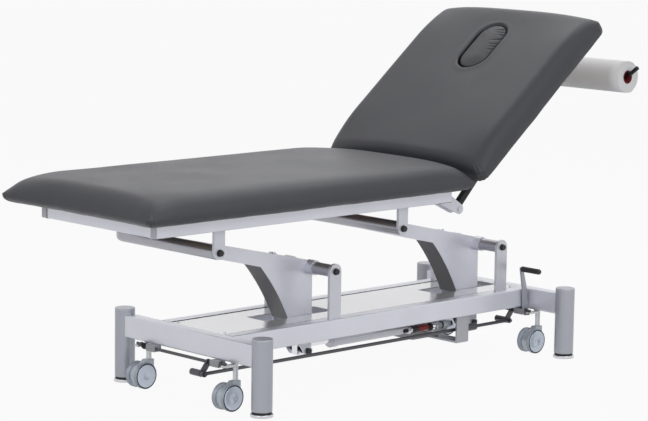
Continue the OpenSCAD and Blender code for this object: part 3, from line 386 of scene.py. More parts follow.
def grid_faces(rows, cols, start=0):
    corners = [start + i * cols + j for i in range(rows - 1) for j in range(cols - 1)]
    return [(p, p + 1, p + cols + 1, p + cols) for p in corners]


def ring_faces(rows, m):
    """Faces between closed rings of m points, one above the other."""
    return [(k * m + i, k * m + (i + 1) % m, (k + 1) * m + (i + 1) % m, (k + 1) * m + i)
            for k in range(rows - 1) for i in range(m)]


def turned_faces(turns, m, start=0):
    """Faces between neighbouring copies of a section of m points, turned about an axis."""
    faces = []
    for i in range(turns):
        p, q = start + i * m, start + (i + 1) % turns * m
        faces += [(p + k, p + k + 1, q + k + 1, q + k) for k in range(m - 1)]
    return faces


def lathe(name, profile, centre, mat, turns=64, marks=()):
    """Turns (radius, y) pairs about the Y axis through centre; marks give a run another finish."""
    verts = []
    for i in range(turns):
        c = 2 * math.pi * i / turns
        for r, y in profile:
            verts.append((centre[0] + r * math.cos(c), centre[1] + y, centre[2] + r * math.sin(c)))
    m = len(profile)
    ob = mesh_object(name, verts, turned_faces(turns, m), mat)
    for n, p in enumerate(ob.data.polygons):
        k = n % (m - 1)
        p.material_index = next((s for s, lo, hi in marks if lo <= k < hi), 0)
    return ob


# Upholstery, in the plane of each cushion: x along it, z up from its underside

HINGE = Vector((0.211, 0, 0.566))
DROP = 0.020
CUSHION_T = 0.087
HALF_W = 0.345
SEAT_BASE = 0.586
SEAT = (-1.107, 0.202)
BACK = (0.044, 0.766)
# Plan corner, undercut, inward pull of the ends, width of the shoulder, steps along and across
SEAT_FORM = {"corner": 0.018, "under": 0.055, "pull": 0.011, "reach": 0.062, "steps": (120, 62)}
BACK_FORM = {"corner": 0.030, "under": 0.005, "pull": 0.0035, "reach": 0.040, "steps": (74, 70)}
EDGE_ROUND = 0.043
LOWER_TURNS = (0, 15, 30, 45, 60, 75)
UPPER_TURNS = (0, 8, 16, 24, 32, 40, 48, 56, 64, 72, 80, 90)
ARC_STEPS = 8
FULLNESS = 2.1
CROWN = 0.0002
BELLY = 0.29 * CUSHION_T
SIDE_DROP, SIDE_POWER = 0.003, 2.4
CORNER_DROP = 0.036
CORNER_REACH = 0.190
# Rings from the shoulder to the face opening, and heights down its wall
OPENING_ROWS, OPENING_SPREAD = 26, 1.7
OPENING_WALL = (0.9, 0.7, 0.4, 0.0)
QUARTERS = ((1, 1), (-1, 1), (-1, -1), (1, -1))
BACK_TURN = Matrix.Translation(HINGE) @ Matrix.Rotation(-BACK_ANGLE, 4, "Y")


def rise(d, reach):
    """Share of the full height at a distance d in from the edge: a full, soft shoulder."""
    short = 1 - min(max(d, 0) / reach, 1)
    return max(0.0, 1 - short ** FULLNESS) ** (1 / FULLNESS)


def skin_height(x, y, a, reach):
    side = abs(y) / HALF_W
    full = CUSHION_T + CROWN - SIDE_DROP * side ** SIDE_POWER
    z = BELLY + (full - BELLY) * rise(a - abs(x), reach) * rise(HALF_W - abs(y), reach)
    near_end = max(0.0, 1 - (a - abs(x)) / CORNER_REACH)
    return z - (z - BELLY) / (full - BELLY) * CORNER_DROP * near_end ** 2 * side ** 3


def outline(a, b, r, steps):
    """Rounded rectangle: four arcs and four sides with fixed counts, so that rings match."""
    pts = []
    for q, (sx, sy) in enumerate(QUARTERS):
        for i in range(ARC_STEPS + 1):
            c = math.radians(90 * (q + i / ARC_STEPS))
            pts.append((sx * (a - r) + r * math.cos(c), sy * (b - r) + r * math.sin(c)))
        nx, ny = QUARTERS[(q + 1) % 4]
        c = math.radians(90 * (q + 1))
        x1, y1 = nx * (a - r) + r * math.cos(c), ny * (b - r) + r * math.sin(c)
        x0, y0 = pts[-1]
        count = steps[q % 2]
        pts += [(x0 + (x1 - x0) * i / count, y0 + (y1 - y0) * i / count) for i in range(1, count)]
    return pts


def cushion_skin(name, a, form, opening=None):
    """Closed cushion: rings up its sides, then a plain grid, or rings round the face opening."""
    b, under, steps = HALF_W, form["under"], form["steps"]
    rings = [(under * (1 - math.sin(math.radians(t))), BELLY * (1 - math.cos(math.radians(t))))
             for t in LOWER_TURNS]
    rings += [(EDGE_ROUND * (1 - math.cos(math.radians(t))), None) for t in UPPER_TURNS]

    def point(x, y, z=None):
        z = skin_height(x, y, a, form["reach"]) if z is None else z
        return x - form["pull"] * (1 - (y / b) ** 2) * x / a, y, z

    verts = [point(x, y, z) for inset, z in rings
             for x, y in outline(a - inset, b - inset, max(form["corner"] - inset, 0.0), steps)]
    m = len(verts) // len(rings)
    rows = len(rings)
    if opening:
        mid, half, r = opening
        last = outline(a - EDGE_ROUND, b - EDGE_ROUND, 0.0, steps)
        rim = []
        for x, y in last:
            cx = min(max(x, mid - half), mid + half)
            d = math.hypot(x - cx, y)
            rim.append((cx + (x - cx) / d * r, y / d * r))
        for i in range(1, OPENING_ROWS + 1):
            s = 1 - (1 - i / OPENING_ROWS) ** OPENING_SPREAD
            verts += [point(x + (u - x) * s, y + (v - y) * s)
                      for (x, y), (u, v) in zip(last, rim)]
        top = verts[-m:]
        verts += [(x, y, z * share) for share in OPENING_WALL for x, y, z in top]
        rows += OPENING_ROWS + len(OPENING_WALL)
        foot = (rows - 1) * m
        faces = ring_faces(rows, m) + [(foot + i, foot + (i + 1) % m, (i + 1) % m, i)
                                       for i in range(m)]
    else:
        faces = ring_faces(rows, m)
        nx, ny = steps
        for inset, z in ((EDGE_ROUND, None), (under, 0.0)):
            start = len(verts)
            verts += [point((a - inset) * (1 - 2 * i / nx), (b - inset) * (1 - 2 * j / ny), z)
                      for i in range(nx + 1) for j in range(ny + 1)]
            faces += grid_faces(nx + 1, ny + 1, start)
    return clean(mesh_object(name, verts, faces, FINISHES["vinyl"]))


PRESSURE = 4
CLOTH_FRAMES = 20
SMOOTH_PASSES = 24
# How far each piece may swell, and what is held while it does
SEAT_SWELL, BACK_SWELL, PLUG_SWELL = 0.004, 0.002, 0.001
HELD_Z = 0.004
HELD_ROUND_OPENING = 0.050
PLUG_HELD_Z = 0.076


def inflate(ob, cap, held):
    """Cloth with air pressure inside. It swells along its own normals, by cap at most, and the
    swelling is evened out, so the skin stays as taut as the real one; held vertices stay."""
    start = [v.co.copy() for v in ob.data.vertices]
    pins = ob.vertex_groups.new(name="held")
    pins.add([v.index for v in ob.data.vertices if held(v.co)], 1.0, "ADD")
    cloth = ob.modifiers.new("cloth", "CLOTH")
    s = cloth.settings
    s.vertex_group_mass = "held"
    s.use_pressure = True
    s.uniform_pressure_force = PRESSURE
    s.effector_weights.gravity = 0
    cloth.point_cache.frame_start = 1
    cloth.point_cache.frame_end = CLOTH_FRAMES
    for f in range(1, CLOTH_FRAMES + 1):
        scene.frame_set(f)
    done = ob.evaluated_get(bpy.context.evaluated_depsgraph_get()).to_mesh()
    moved = [v.co.copy() for v in done.vertices]
    ob.modifiers.remove(cloth)
    ob.vertex_groups.clear()
    out = [min(max((q - p).dot(v.normal), 0.0), cap)
           for v, p, q in zip(ob.data.vertices, start, moved)]
    near = [[] for _ in out]
    for e in ob.data.edges:
        i, j = e.vertices
        near[i].append(j)
        near[j].append(i)
    for _ in range(SMOOTH_PASSES):
        out = [0.5 * h + 0.5 * sum(out[j] for j in js) / len(js) for h, js in zip(out, near)]
    ways = [v.normal * h for v, h in zip(ob.data.vertices, out)]
    for v, p, way in zip(ob.data.vertices, start, ways):
        v.co = p + way
    ob.data.update()
    scene.frame_set(1)


def refine(ob):
    mod = ob.modifiers.new("refine", "SUBSURF")
    mod.levels = mod.render_levels = 1
    me = applied(ob)
    ob.modifiers.clear()
    ob.data = me
    for p in me.polygons:
        p.use_smooth = True


def bell(d, w):
    return math.exp(-(d / w) ** 2)


def ramp(t):
    t = min(max(t, 0.0), 1.0)
    return t * t * (3 - 2 * t)


def press(ob, depth):
    """Moves each vertex inwards along its normal by depth(place, normal)."""
    moves = [(v, v.normal.copy() * depth(v.co, v.normal)) for v in ob.data.vertices]
    for v, way in moves:
        v.co -= way
    ob.data.update()


# Folds at a corner: directions, how much they turn on every second corner, depths and width
TUCK_TURNS = (14, 36, 58, 78)
TUCK_SHIFT = 4
TUCK_DEPTHS = (0.0008, 0.0018, 0.0014, 0.0008)
TUCK_W = 0.0026
TUCK_IN = 0.040
TUCK_START = -0.02
TUCK_RUN = 0.038
TUCK_FADE, TUCK_FADE_Z = 1.6, 0.062
# Hollows of hand-laid foam, and finer ones low on the sides
HOLLOW, HOLLOW_RATE, HOLLOW_RATE_Z = 0.0009, 6.0, 9.0
RIPPLE, RIPPLE_RATE, RIPPLE_RATE_Z, RIPPLE_AT = 0.0008, 22.0, 30.0, 5


def tucks(a):
    """Folds that run over each corner, where the vinyl is gathered under the cushion."""
    def depth(p, normal):
        x, y = abs(p.x) - (a - TUCK_IN), abs(p.y) - (HALF_W - TUCK_IN)
        d = 0.0
        if x > TUCK_START and y > TUCK_START:
            side = 0 if p.x * p.y > 0 else TUCK_SHIFT
            for turn, deep in zip(TUCK_TURNS, TUCK_DEPTHS):
                c = math.radians(turn + side)
                along = x * math.cos(c) + y * math.sin(c)
                across = x * math.sin(c) - y * math.cos(c)
                d += (deep * bell(across, TUCK_W) * ramp(along / TUCK_RUN)
                      * ramp(TUCK_FADE - p.z / TUCK_FADE_Z))
        hollow = noise.noise(Vector((p.x * HOLLOW_RATE, p.y * HOLLOW_RATE, p.z * HOLLOW_RATE_Z)))
        ripple = noise.noise(Vector((p.x * RIPPLE_RATE + RIPPLE_AT, p.y * RIPPLE_RATE,
                                     p.z * RIPPLE_RATE_Z)))
        return d - HOLLOW * hollow - RIPPLE * ripple * ramp(1 - p.z / CUSHION_T)
    return depth


seat_a = (SEAT[1] - SEAT[0]) / 2
seat = cushion_skin("seat_pad", seat_a, SEAT_FORM)
inflate(seat, SEAT_SWELL, lambda p: p.z < HELD_Z)
refine(seat)
press(seat, tucks(seat_a))
settle(seat, Matrix.Translation(((SEAT[0] + SEAT[1]) / 2, 0, SEAT_BASE)))
mount(seat, "top", "seat_vinyl", "seat_cushion")

# Face opening and its plug
FACE_MID = 0.558
FACE_LEN = 0.210
FACE_W = 0.118
PLUG_GAP = 0.0032
PLUG_TOP = 0.0885

back_a = (BACK[1] - BACK[0]) / 2
BACK_MID = (BACK[0] + BACK[1]) / 2
FACE_AT = FACE_MID - BACK_MID
FACE_HALF = (FACE_LEN - FACE_W) / 2


def from_face(p):
    """Distance outside the face opening's edge, and the turn round it."""
    cx = min(max(p.x, FACE_AT - FACE_HALF), FACE_AT + FACE_HALF)
    return math.hypot(p.x - cx, p.y) - FACE_W / 2, math.atan2(p.y, p.x - FACE_AT)


back = cushion_skin("back_pad", back_a, BACK_FORM, (FACE_AT, FACE_HALF, FACE_W / 2))
inflate(back, BACK_SWELL, lambda p: p.z < HELD_Z or from_face(p)[0] < HELD_ROUND_OPENING)
refine(back)

# The skin turns down into the opening, with a low lip round it and a dent at its head end
FACING_UP = 0.2
LIP_AT, LIP_W, LIP = 0.012, 0.008, 0.0010
TURN_IN, TURN_IN_W, TURN_IN_POWER, TURN_IN_FROM = 0.0060, 0.007, 1.5, 0.6 * CUSHION_T
DENT, DENT_W, DENT_POWER = 0.0016, 0.012, 6


def back_relief(p, normal):
    d, turn = from_face(p)
    fold = tucks(back_a)(p, normal)
    if normal.z > FACING_UP or d < LIP_AT:
        turn_in = TURN_IN * ramp(1 - d / TURN_IN_W) ** TURN_IN_POWER if p.z > TURN_IN_FROM else 0.0
        lip = LIP * bell(d - LIP_AT, LIP_W)
        dent = DENT * bell(d - LIP_AT, DENT_W) * max(0.0, math.cos(turn)) ** DENT_POWER
        fold += turn_in - lip + dent
    return fold


press(back, back_relief)
settle(back, BACK_TURN @ Matrix.Translation((BACK_MID, 0, DROP)))
mount(back, "back", "back_vinyl", "back_cushion")

PLUG_WALL = (0.0, 0.02, 0.045, 0.062, 0.072)
PLUG_SHOULDER = 0.008
PLUG_TURNS = (15, 30, 45, 60, 75, 90)
PLUG_BRIM = PLUG_TOP - 0.004
PLUG_DOME, PLUG_DOME_RINGS = 0.0045, 14
PLUG_ARC, PLUG_SIDE = 48, 26


def plug_skin():
    """Stadium pad with rolled shoulders and a low dome, closed along its middle line."""
    r0 = FACE_W / 2 - PLUG_GAP
    rings = [(0.0, z) for z in PLUG_WALL]
    for t in PLUG_TURNS:
        c = math.radians(t)
        rings.append((PLUG_SHOULDER * (1 - math.cos(c)),
                      PLUG_BRIM - PLUG_SHOULDER + PLUG_SHOULDER * math.sin(c)))
    for i in range(1, PLUG_DOME_RINGS + 1):
        s = i / PLUG_DOME_RINGS
        rings.append((PLUG_SHOULDER + (r0 - PLUG_SHOULDER) * s,
                      PLUG_BRIM + PLUG_DOME * math.sin(s * math.pi / 2)))
    verts = []
    for inset, z in rings:
        r = r0 - inset
        for side in (1, -1):
            for i in range(PLUG_ARC + 1):
                c = math.radians(-90 + 180 * i / PLUG_ARC)
                verts.append((side * (FACE_HALF + r * math.cos(c)), side * r * math.sin(c), z))
            for i in range(1, PLUG_SIDE):
                verts.append((side * FACE_HALF * (1 - 2 * i / PLUG_SIDE), side * r, z))
    m = len(verts) // len(rings)
    faces = ring_faces(len(rings), m) + [tuple(reversed(range(m)))]
    return clean(mesh_object("plug_pad", verts, faces, FINISHES["plug_vinyl"]))


plug = plug_skin()
inflate(plug, PLUG_SWELL, lambda p: p.z < PLUG_HELD_Z)
refine(plug)

# Creases on the plug's near side: where they fade out, how they lean, sway and end
CREASE_PITCH, CREASE_DEPTH, CREASE_SHARP = 0.0175, 0.0034, 3
CREASE_TO_Y, CREASE_FADE_Y = 0.02, 0.03
CREASE_FOOT_X, CREASE_FADE_FOOT = 0.045, 0.03
CREASE_HEAD_X, CREASE_FADE_HEAD = 0.098, 0.02
CREASE_LEAN, CREASE_LEAN_AT = 0.25, 0.05
CREASE_SWAY, CREASE_SWAY_RATE = 0.004, 90
CREASE_RUN, CREASE_RUN_VARY, CREASE_RUN_RATE = 0.034, 0.012, 110
CREASE_RIM, CREASE_FULL = 0.004, 0.008
PLUG_HOLLOW, PLUG_HOLLOW_RATE = 0.0004, 25
TOP_FROM, TOP_OVER = 0.1, 0.5


def plug_relief(p, normal):
    cx = min(max(p.x, -FACE_HALF), FACE_HALF)
    inside = FACE_W / 2 - math.hypot(p.x - cx, p.y)
    near = (ramp((CREASE_TO_Y - p.y) / CREASE_FADE_Y)
            * ramp((p.x + CREASE_FOOT_X) / CREASE_FADE_FOOT)
            * ramp((CREASE_HEAD_X - p.x) / CREASE_FADE_HEAD))
    along = (p.x + CREASE_LEAN * (p.y + CREASE_LEAN_AT)
             + CREASE_SWAY * math.sin(CREASE_SWAY_RATE * p.x))
    wave = max(0.0, math.cos(2 * math.pi * along / CREASE_PITCH)) ** CREASE_SHARP
    run = CREASE_RUN + CREASE_RUN_VARY * math.sin(CREASE_RUN_RATE * p.x)
    fade = ramp(inside / CREASE_RIM) * ramp(1 - (inside - CREASE_FULL) / run)
    up = ramp((normal.z - TOP_FROM) / TOP_OVER)
    hollow = PLUG_HOLLOW * noise.noise(p * PLUG_HOLLOW_RATE)
    return (CREASE_DEPTH * near * wave * fade - hollow) * up


press(plug, plug_relief)
settle(plug, BACK_TURN @ Matrix.Translation((FACE_MID, 0, DROP)))
mount(plug, "plug", "plug_vinyl", "face_plug")

# Paper roll: wound layers on both ends and a free edge

ROLL_LO, ROLL_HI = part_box("paper_roll")
ROLL_AT = (ROLL_LO + ROLL_HI) / 2
ROLL_R = (ROLL_HI.x - ROLL_LO.x) / 2
CORE_LO, CORE_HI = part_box("roll_core")
CORE_R = (CORE_HI.x - CORE_LO.x) / 2
CORE_ROOM = 0.0002
LAYER_PITCH, LAST_LAYER = 0.0012, 0.001
END_SET_BACK, END_UNEVEN, FAR_UNEVEN = 0.0003, 0.0008, 0.0002
SIDE_STEPS, SIDE_SET_BACK, SIDE_UNEVEN = 14, 0.0001, 0.0003
RIM_SET_BACK = 0.0004
ROLL_TURNS = 96


def paper_profile():
    """Half section of the roll from the core out, over one end, along, and back in."""
    half = (ROLL_HI.y - ROLL_LO.y) / 2
    rng = random.Random(7)
    r, out = CORE_R + CORE_ROOM, []
    while r < ROLL_R - LAST_LAYER:
        out.append((r, -half + END_SET_BACK + END_UNEVEN * rng.random()))
        r += LAYER_PITCH
    side = [(ROLL_R - SIDE_SET_BACK - SIDE_UNEVEN * rng.random(), -half + 2 * half * i / SIDE_STEPS)
            for i in range(1, SIDE_STEPS)]
    far = [(q, -y - FAR_UNEVEN * rng.random()) for q, y in reversed(out)]
    rim = ROLL_R - RIM_SET_BACK
    return out + [(rim, -half)] + side + [(rim, half)] + far + [out[0]]


wound = lathe("paper_roll_wound", paper_profile(), ROLL_AT, FINISHES["paper"], turns=ROLL_TURNS)
clean(wound, FINE_MERGE)
mount(wound, "roll", "paper", "paper_roll")

FREE_ROWS, FREE_COLS = 9, 24
FREE_SHY = 0.002
FREE_FROM, FREE_ARC = 330, 38
FREE_OFF, FREE_LIFT = 0.0001, 0.0022
FREE_WAVE, FREE_WAVES = 0.0007, 7
PAPER_T = 0.0003


def paper_edge():
    """The last turn of paper ends in a straight free edge that stands a little off the roll."""
    verts = []
    half = (ROLL_HI.y - ROLL_LO.y) / 2 - FREE_SHY
    for i in range(FREE_ROWS):
        s = i / (FREE_ROWS - 1)
        c = math.radians(FREE_FROM - FREE_ARC * s)
        for j in range(FREE_COLS):
            t = j / (FREE_COLS - 1)
            r = (ROLL_R + FREE_OFF + FREE_LIFT * s ** 2
                 + FREE_WAVE * math.sin(FREE_WAVES * t + 1) * s ** 2)
            verts.append((ROLL_AT.x + r * math.cos(c), ROLL_AT.y + half * (2 * t - 1),
                          ROLL_AT.z + r * math.sin(c)))
    ob = mesh_object("paper_free_edge", verts, grid_faces(FREE_ROWS, FREE_COLS),
                     FINISHES["paper"])
    wall = ob.modifiers.new("wall", "SOLIDIFY")
    wall.thickness = PAPER_T
    wall.offset = 0
    me = applied(ob)
    ob.modifiers.clear()
    ob.data = me
    return clean(ob, FINE_MERGE)


mount(paper_edge(), "roll", "paper")

# Twin wheels: domed hubs, a seam groove coloured black as painted shade, and a ribbed tread

WHEEL_R = 0.040
WHEEL_IN, WHEEL_OUT = 0.0122, 0.0280
# Hub: radius, out from the inner face. Rib: in from the tread, along it. Seam and face: radius,
# in from the outer face
HUB_SECTION = ((MIDDLE_R, 0.0), (0.034, 0.0), (0.0362, 0.0008))
RIB_SECTION = ((0.0, 0.0), (0.0, 0.0012), (0.0005, 0.0014), (0.0005, 0.0020))
SEAM_SECTION = ((0.0372, 0.0021), (0.0368, 0.0034), (0.0358, 0.0034))
FACE_SECTION = ((0.0352, 0.0016), (0.0340, 0.0010), (0.028, 0.0007), (0.018, 0.0003),
                (0.0095, 0.0001), (0.009, 0.0007), (MIDDLE_R, 0.0007))
RIBS, RIB_PITCH, RIB_START = 5, 0.0022, 0.0026
TREAD_IN, TREAD_IN_Y = 0.0014, 0.0012
TREAD_OUT, TREAD_OUT_Y = 0.0012, 0.0022
AXLE_R, AXLE_OVERLAP, AXLE_TURNS = 0.004, 0.002, 24
# Slots: the tread, and black on the seam groove as painted shade of the gap between hub and tread
TREAD_SLOT, SEAM_SHADE_SLOT = 1, 2


def wheel_profile():
    """Half section of one wheel from its inner face to the middle of its outer face."""
    hub = [(r, WHEEL_IN + y) for r, y in HUB_SECTION]
    tread = [(WHEEL_R - TREAD_IN, WHEEL_IN + TREAD_IN_Y)]
    for i in range(RIBS):
        start = WHEEL_IN + RIB_START + RIB_PITCH * i
        tread += [(WHEEL_R - d, start + y) for d, y in RIB_SECTION]
    tread += [(WHEEL_R - TREAD_OUT, WHEEL_OUT - TREAD_OUT_Y)]
    seam, face = ([(r, WHEEL_OUT - y) for r, y in part] for part in (SEAM_SECTION, FACE_SECTION))
    return hub, tread, seam, face


hub, tread, seam, face = wheel_profile()
wheel_section = hub + tread + seam + face
tread_end = len(hub) + len(tread)
wheel_marks = [(TREAD_SLOT, len(hub) - 1, tread_end - 1),
               (SEAM_SHADE_SLOT, tread_end - 1, tread_end + len(seam))]
axle_end = WHEEL_IN + AXLE_OVERLAP
axle_section = [(AXIS_R, -axle_end), (AXLE_R, -axle_end), (AXLE_R, axle_end), (AXIS_R, axle_end)]

for corner in ("near_foot", "far_foot", "near_head", "far_head"):
    lo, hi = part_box(corner + "_wheels")
    at = (lo + hi) / 2
    pair = []
    for side in (-1, 1):
        ob = lathe(corner + "_twin", [(r, side * y) for r, y in wheel_section], at,
                   FINISHES["wheel_plastic"], marks=wheel_marks)
        ob.data.materials.append(FINISHES["tread"])
        ob.data.materials.append(FINISHES["black_rubber"])
        pair.append(ob)
    axle = lathe(corner + "_axle", axle_section, at, FINISHES["wheel_plastic"], turns=AXLE_TURNS)
    bm = bmesh.new()
    for ob in pair + [axle]:
        bm.from_mesh(ob.data)
    bmesh.ops.remove_doubles(bm, verts=bm.verts, dist=FINE_MERGE)
    bmesh.ops.holes_fill(bm, edges=bm.edges, sides=0)
    bmesh.ops.recalc_face_normals(bm, faces=bm.faces)
    bm.to_mesh(pair[0].data)
    bm.free()
    for ob in (pair[1], axle):
        bpy.data.objects.remove(ob)
    pair[0].name = corner + "_twin_wheels"
    mount(pair[0], corner + "_pair", "wheel_plastic", corner + "_wheels")

# Small parts of the frame

PIVOT_X = {"foot": -0.220, "head": 0.526}
PIVOT_Z = 0.3555
GUSSET_TOP = Vector((-0.201, 0.020))
GUSSET_LOW = Vector((-0.084, -0.155))
GUSSET_SAG = 0.008
ARM_HALF_W = 0.0365
SHADE_SHEET_STEPS = 24
# Section of the dark sheet of painted shade: (off the gusset's edge, side)
SHADE_SHEET_SECTION = ((-0.0009, -1), (-0.0009, 1), (0.0002, 1), (0.0002, -1))


def gusset_shade_sheet(end):
    """Dark sheet on the hollow edge of an arm's gusset: painted shade, where that face lies in the
    couch's shadow.
    """
    way = GUSSET_LOW - GUSSET_TOP
    side = Vector((-way.y, way.x)) / way.length
    verts, faces = [], []
    for i in range(SHADE_SHEET_STEPS + 1):
        s = i / SHADE_SHEET_STEPS
        for lift, y in SHADE_SHEET_SECTION:
            p = GUSSET_TOP + s * way + (4 * s * (1 - s) * GUSSET_SAG + lift) * side
            verts.append((PIVOT_X[end] + p.x, y * ARM_HALF_W, PIVOT_Z + p.y))
    m = len(SHADE_SHEET_SECTION)
    for i in range(SHADE_SHEET_STEPS):
        for k in range(m):
            a, b = m * i + k, m * i + (k + 1) % m
            faces.append((a, b, b + m, a + m))
    faces += [tuple(range(m)), tuple(reversed(range(m * SHADE_SHEET_STEPS, m * (SHADE_SHEET_STEPS + 1))))]
    ob = clean(mesh_object(end + "_gusset_shade_sheet", verts, faces, FINISHES["painted_gusset_shade"],
                           smooth=False))
    mount(ob, end + "_arm", "tube_paint")


for end in PIVOT_X:
    gusset_shade_sheet(end)

BEVEL, FINE_BEVEL = 0.0006, 0.0002
BEVEL_STEPS, BEVEL_SHAPE = 2, 0.7


def bars(name, boxes, mat, bevel=BEVEL):
    """Small bevelled bars, each given by its lowest and highest corners."""
    bm = bmesh.new()
    for lo, hi in boxes:
        for v in bmesh.ops.create_cube(bm, size=1)["verts"]:
            v.co = Vector([lo[k] + (hi[k] - lo[k]) * (v.co[k] + 0.5) for k in range(3)])
    bmesh.ops.bevel(bm, geom=list(bm.edges), offset=bevel, segments=BEVEL_STEPS, affect="EDGES",
                    profile=BEVEL_SHAPE)
    bmesh.ops.recalc_face_normals(bm, faces=bm.faces)
    me = bpy.data.meshes.new(name)
    bm.to_mesh(me)
    bm.free()
    me.materials.append(mat)
    ob = bpy.data.objects.new(name, me)
    scene.collection.objects.link(ob)
    return ob


COVER_LO, COVER_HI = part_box("cover_plate")
GASKET_W, GASKET_RISE, GASKET_SHY = 0.0022, 0.0012, 0.012
gaskets = [((COVER_LO.x + GASKET_SHY, s * COVER_HI.y - GASKET_W / 2, COVER_HI.z - GASKET_RISE),
            (COVER_HI.x - GASKET_SHY, s * COVER_HI.y + GASKET_W / 2, COVER_HI.z + GASKET_RISE))
           for s in (-1, 1)]
mount(bars("cover_gaskets", gaskets, FINISHES["black_rubber"]), "base", "black_rubber")

# Closed ends of the side rails, and the joints between them and the end rail
RAIL_LO, RAIL_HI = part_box("frame_rails")
END_SHY, END_SUNK = 0.001, 0.0004
CAP_Y, CAP_HALF_W, CAP_PROUD = 0.2515, 0.0115, 0.0016
JOINT_Y, JOINT_HALF_W, JOINT_PROUD = 0.2391, 0.0010, 0.0006


def rail_ends(y, half_w, proud):
    return [((RAIL_LO.x - proud, s * y - half_w, RAIL_LO.z + END_SHY),
             (RAIL_LO.x + END_SUNK, s * y + half_w, RAIL_HI.z - END_SHY)) for s in (-1, 1)]


mount(bars("rail_end_caps", rail_ends(CAP_Y, CAP_HALF_W, CAP_PROUD), FINISHES["end_cap"]),
      "top", "cap_plastic")
mount(bars("rail_joint_seals", rail_ends(JOINT_Y, JOINT_HALF_W, JOINT_PROUD),
           FINISHES["black_rubber"], FINE_BEVEL), "top", "black_rubber")

ROW_AT = Vector((0.0, -0.0915, 0.116))
ROUND, HEXAGON = 32, 6
ROW_PARTS = (
    # start, end, radius, shoulder, finish, sides
    (0.146, 0.158, 0.0060, 0.0008, "black_rubber", 24),
    (0.158, 0.170, 0.0115, 0.0012, "bright_steel", HEXAGON),
    (0.170, 0.179, 0.0085, 0.0008, "bright_steel", ROUND),
    (0.179, 0.205, 0.0110, 0.0020, "grip_plastic", ROUND),
    (0.205, 0.256, 0.0100, 0.0030, "valve_red", ROUND),
    (0.256, 0.268, 0.0120, 0.0010, "black_rubber", ROUND),
    (0.268, 0.290, 0.0105, 0.0015, "rod_chrome", ROUND),
    (0.290, 0.312, 0.0112, 0.0012, "stem_white", HEXAGON),
    (0.312, 0.317, 0.0120, 0.0008, "black_rubber", ROUND),
    (0.317, 0.352, 0.0118, 0.0025, "tank_plastic", ROUND),
    (0.352, 0.362, 0.0085, 0.0010, "black_rubber", 24),
)
FLAT_SIDED = ("bright_steel", "stem_white")


def valve_row():
    """Coupling, hose end, solenoid and filter in one row beside the tank, each turned about X."""
    verts, faces, kinds, slots = [], [], [], []
    for x0, x1, r, lip, kind, sides in ROW_PARTS:
        if kind not in slots:
            slots.append(kind)
        section = ((x0, AXIS_R), (x0, r - lip), (x0 + lip, r), (x1 - lip, r), (x1, r - lip),
                   (x1, AXIS_R))
        start, m = len(verts), len(section)
        for i in range(sides):
            c = 2 * math.pi * i / sides
            verts += [ROW_AT + Vector((x, q * math.cos(c), q * math.sin(c))) for x, q in section]
        made = turned_faces(sides, m, start)
        made += [tuple(start + i * m + k for i in range(sides)) for k in (0, m - 1)]
        faces += made
        kinds += [slots.index(kind)] * len(made)
    ob = mesh_object("valve_row", verts, faces, FINISHES[slots[0]], smooth=False)
    for kind in slots[1:]:
        ob.data.materials.append(FINISHES[kind])
    for p, k in zip(ob.data.polygons, kinds):
        p.material_index = k
        p.use_smooth = slots[k] not in FLAT_SIDED
    bm = bmesh.new()
    bm.from_mesh(ob.data)
    bmesh.ops.recalc_face_normals(bm, faces=bm.faces)
    bm.to_mesh(ob.data)
    bm.free()
    return ob


mount(valve_row(), "base", "pump_casting")
# Feet that carry the row on the side of the tank
FOOT_X, FOOT_HALF_W = (0.300, 0.345), 0.004
FOOT_Y = (ROW_AT.y + 0.008, -0.0785 + 0.001)
FOOT_Z = (0.106, 0.124)
feet = [((x - FOOT_HALF_W, FOOT_Y[0], FOOT_Z[0]), (x + FOOT_HALF_W, FOOT_Y[1], FOOT_Z[1]))
        for x in FOOT_X]
mount(bars("valve_row_feet", feet, FINISHES["black_rubber"]), "base", "pump_casting")

# Beads of weld and staples, laid along lines

SIZES = [("Pitch", 0.004), ("Thickness", 0.003), ("Width", 0.003), ("Length", 0.004)]
BEAD_LEAST, BEAD_MOST = 0.85, 1.15
# Least and most of a random value, by number
RANDOM_MIN, RANDOM_MAX = 2, 3


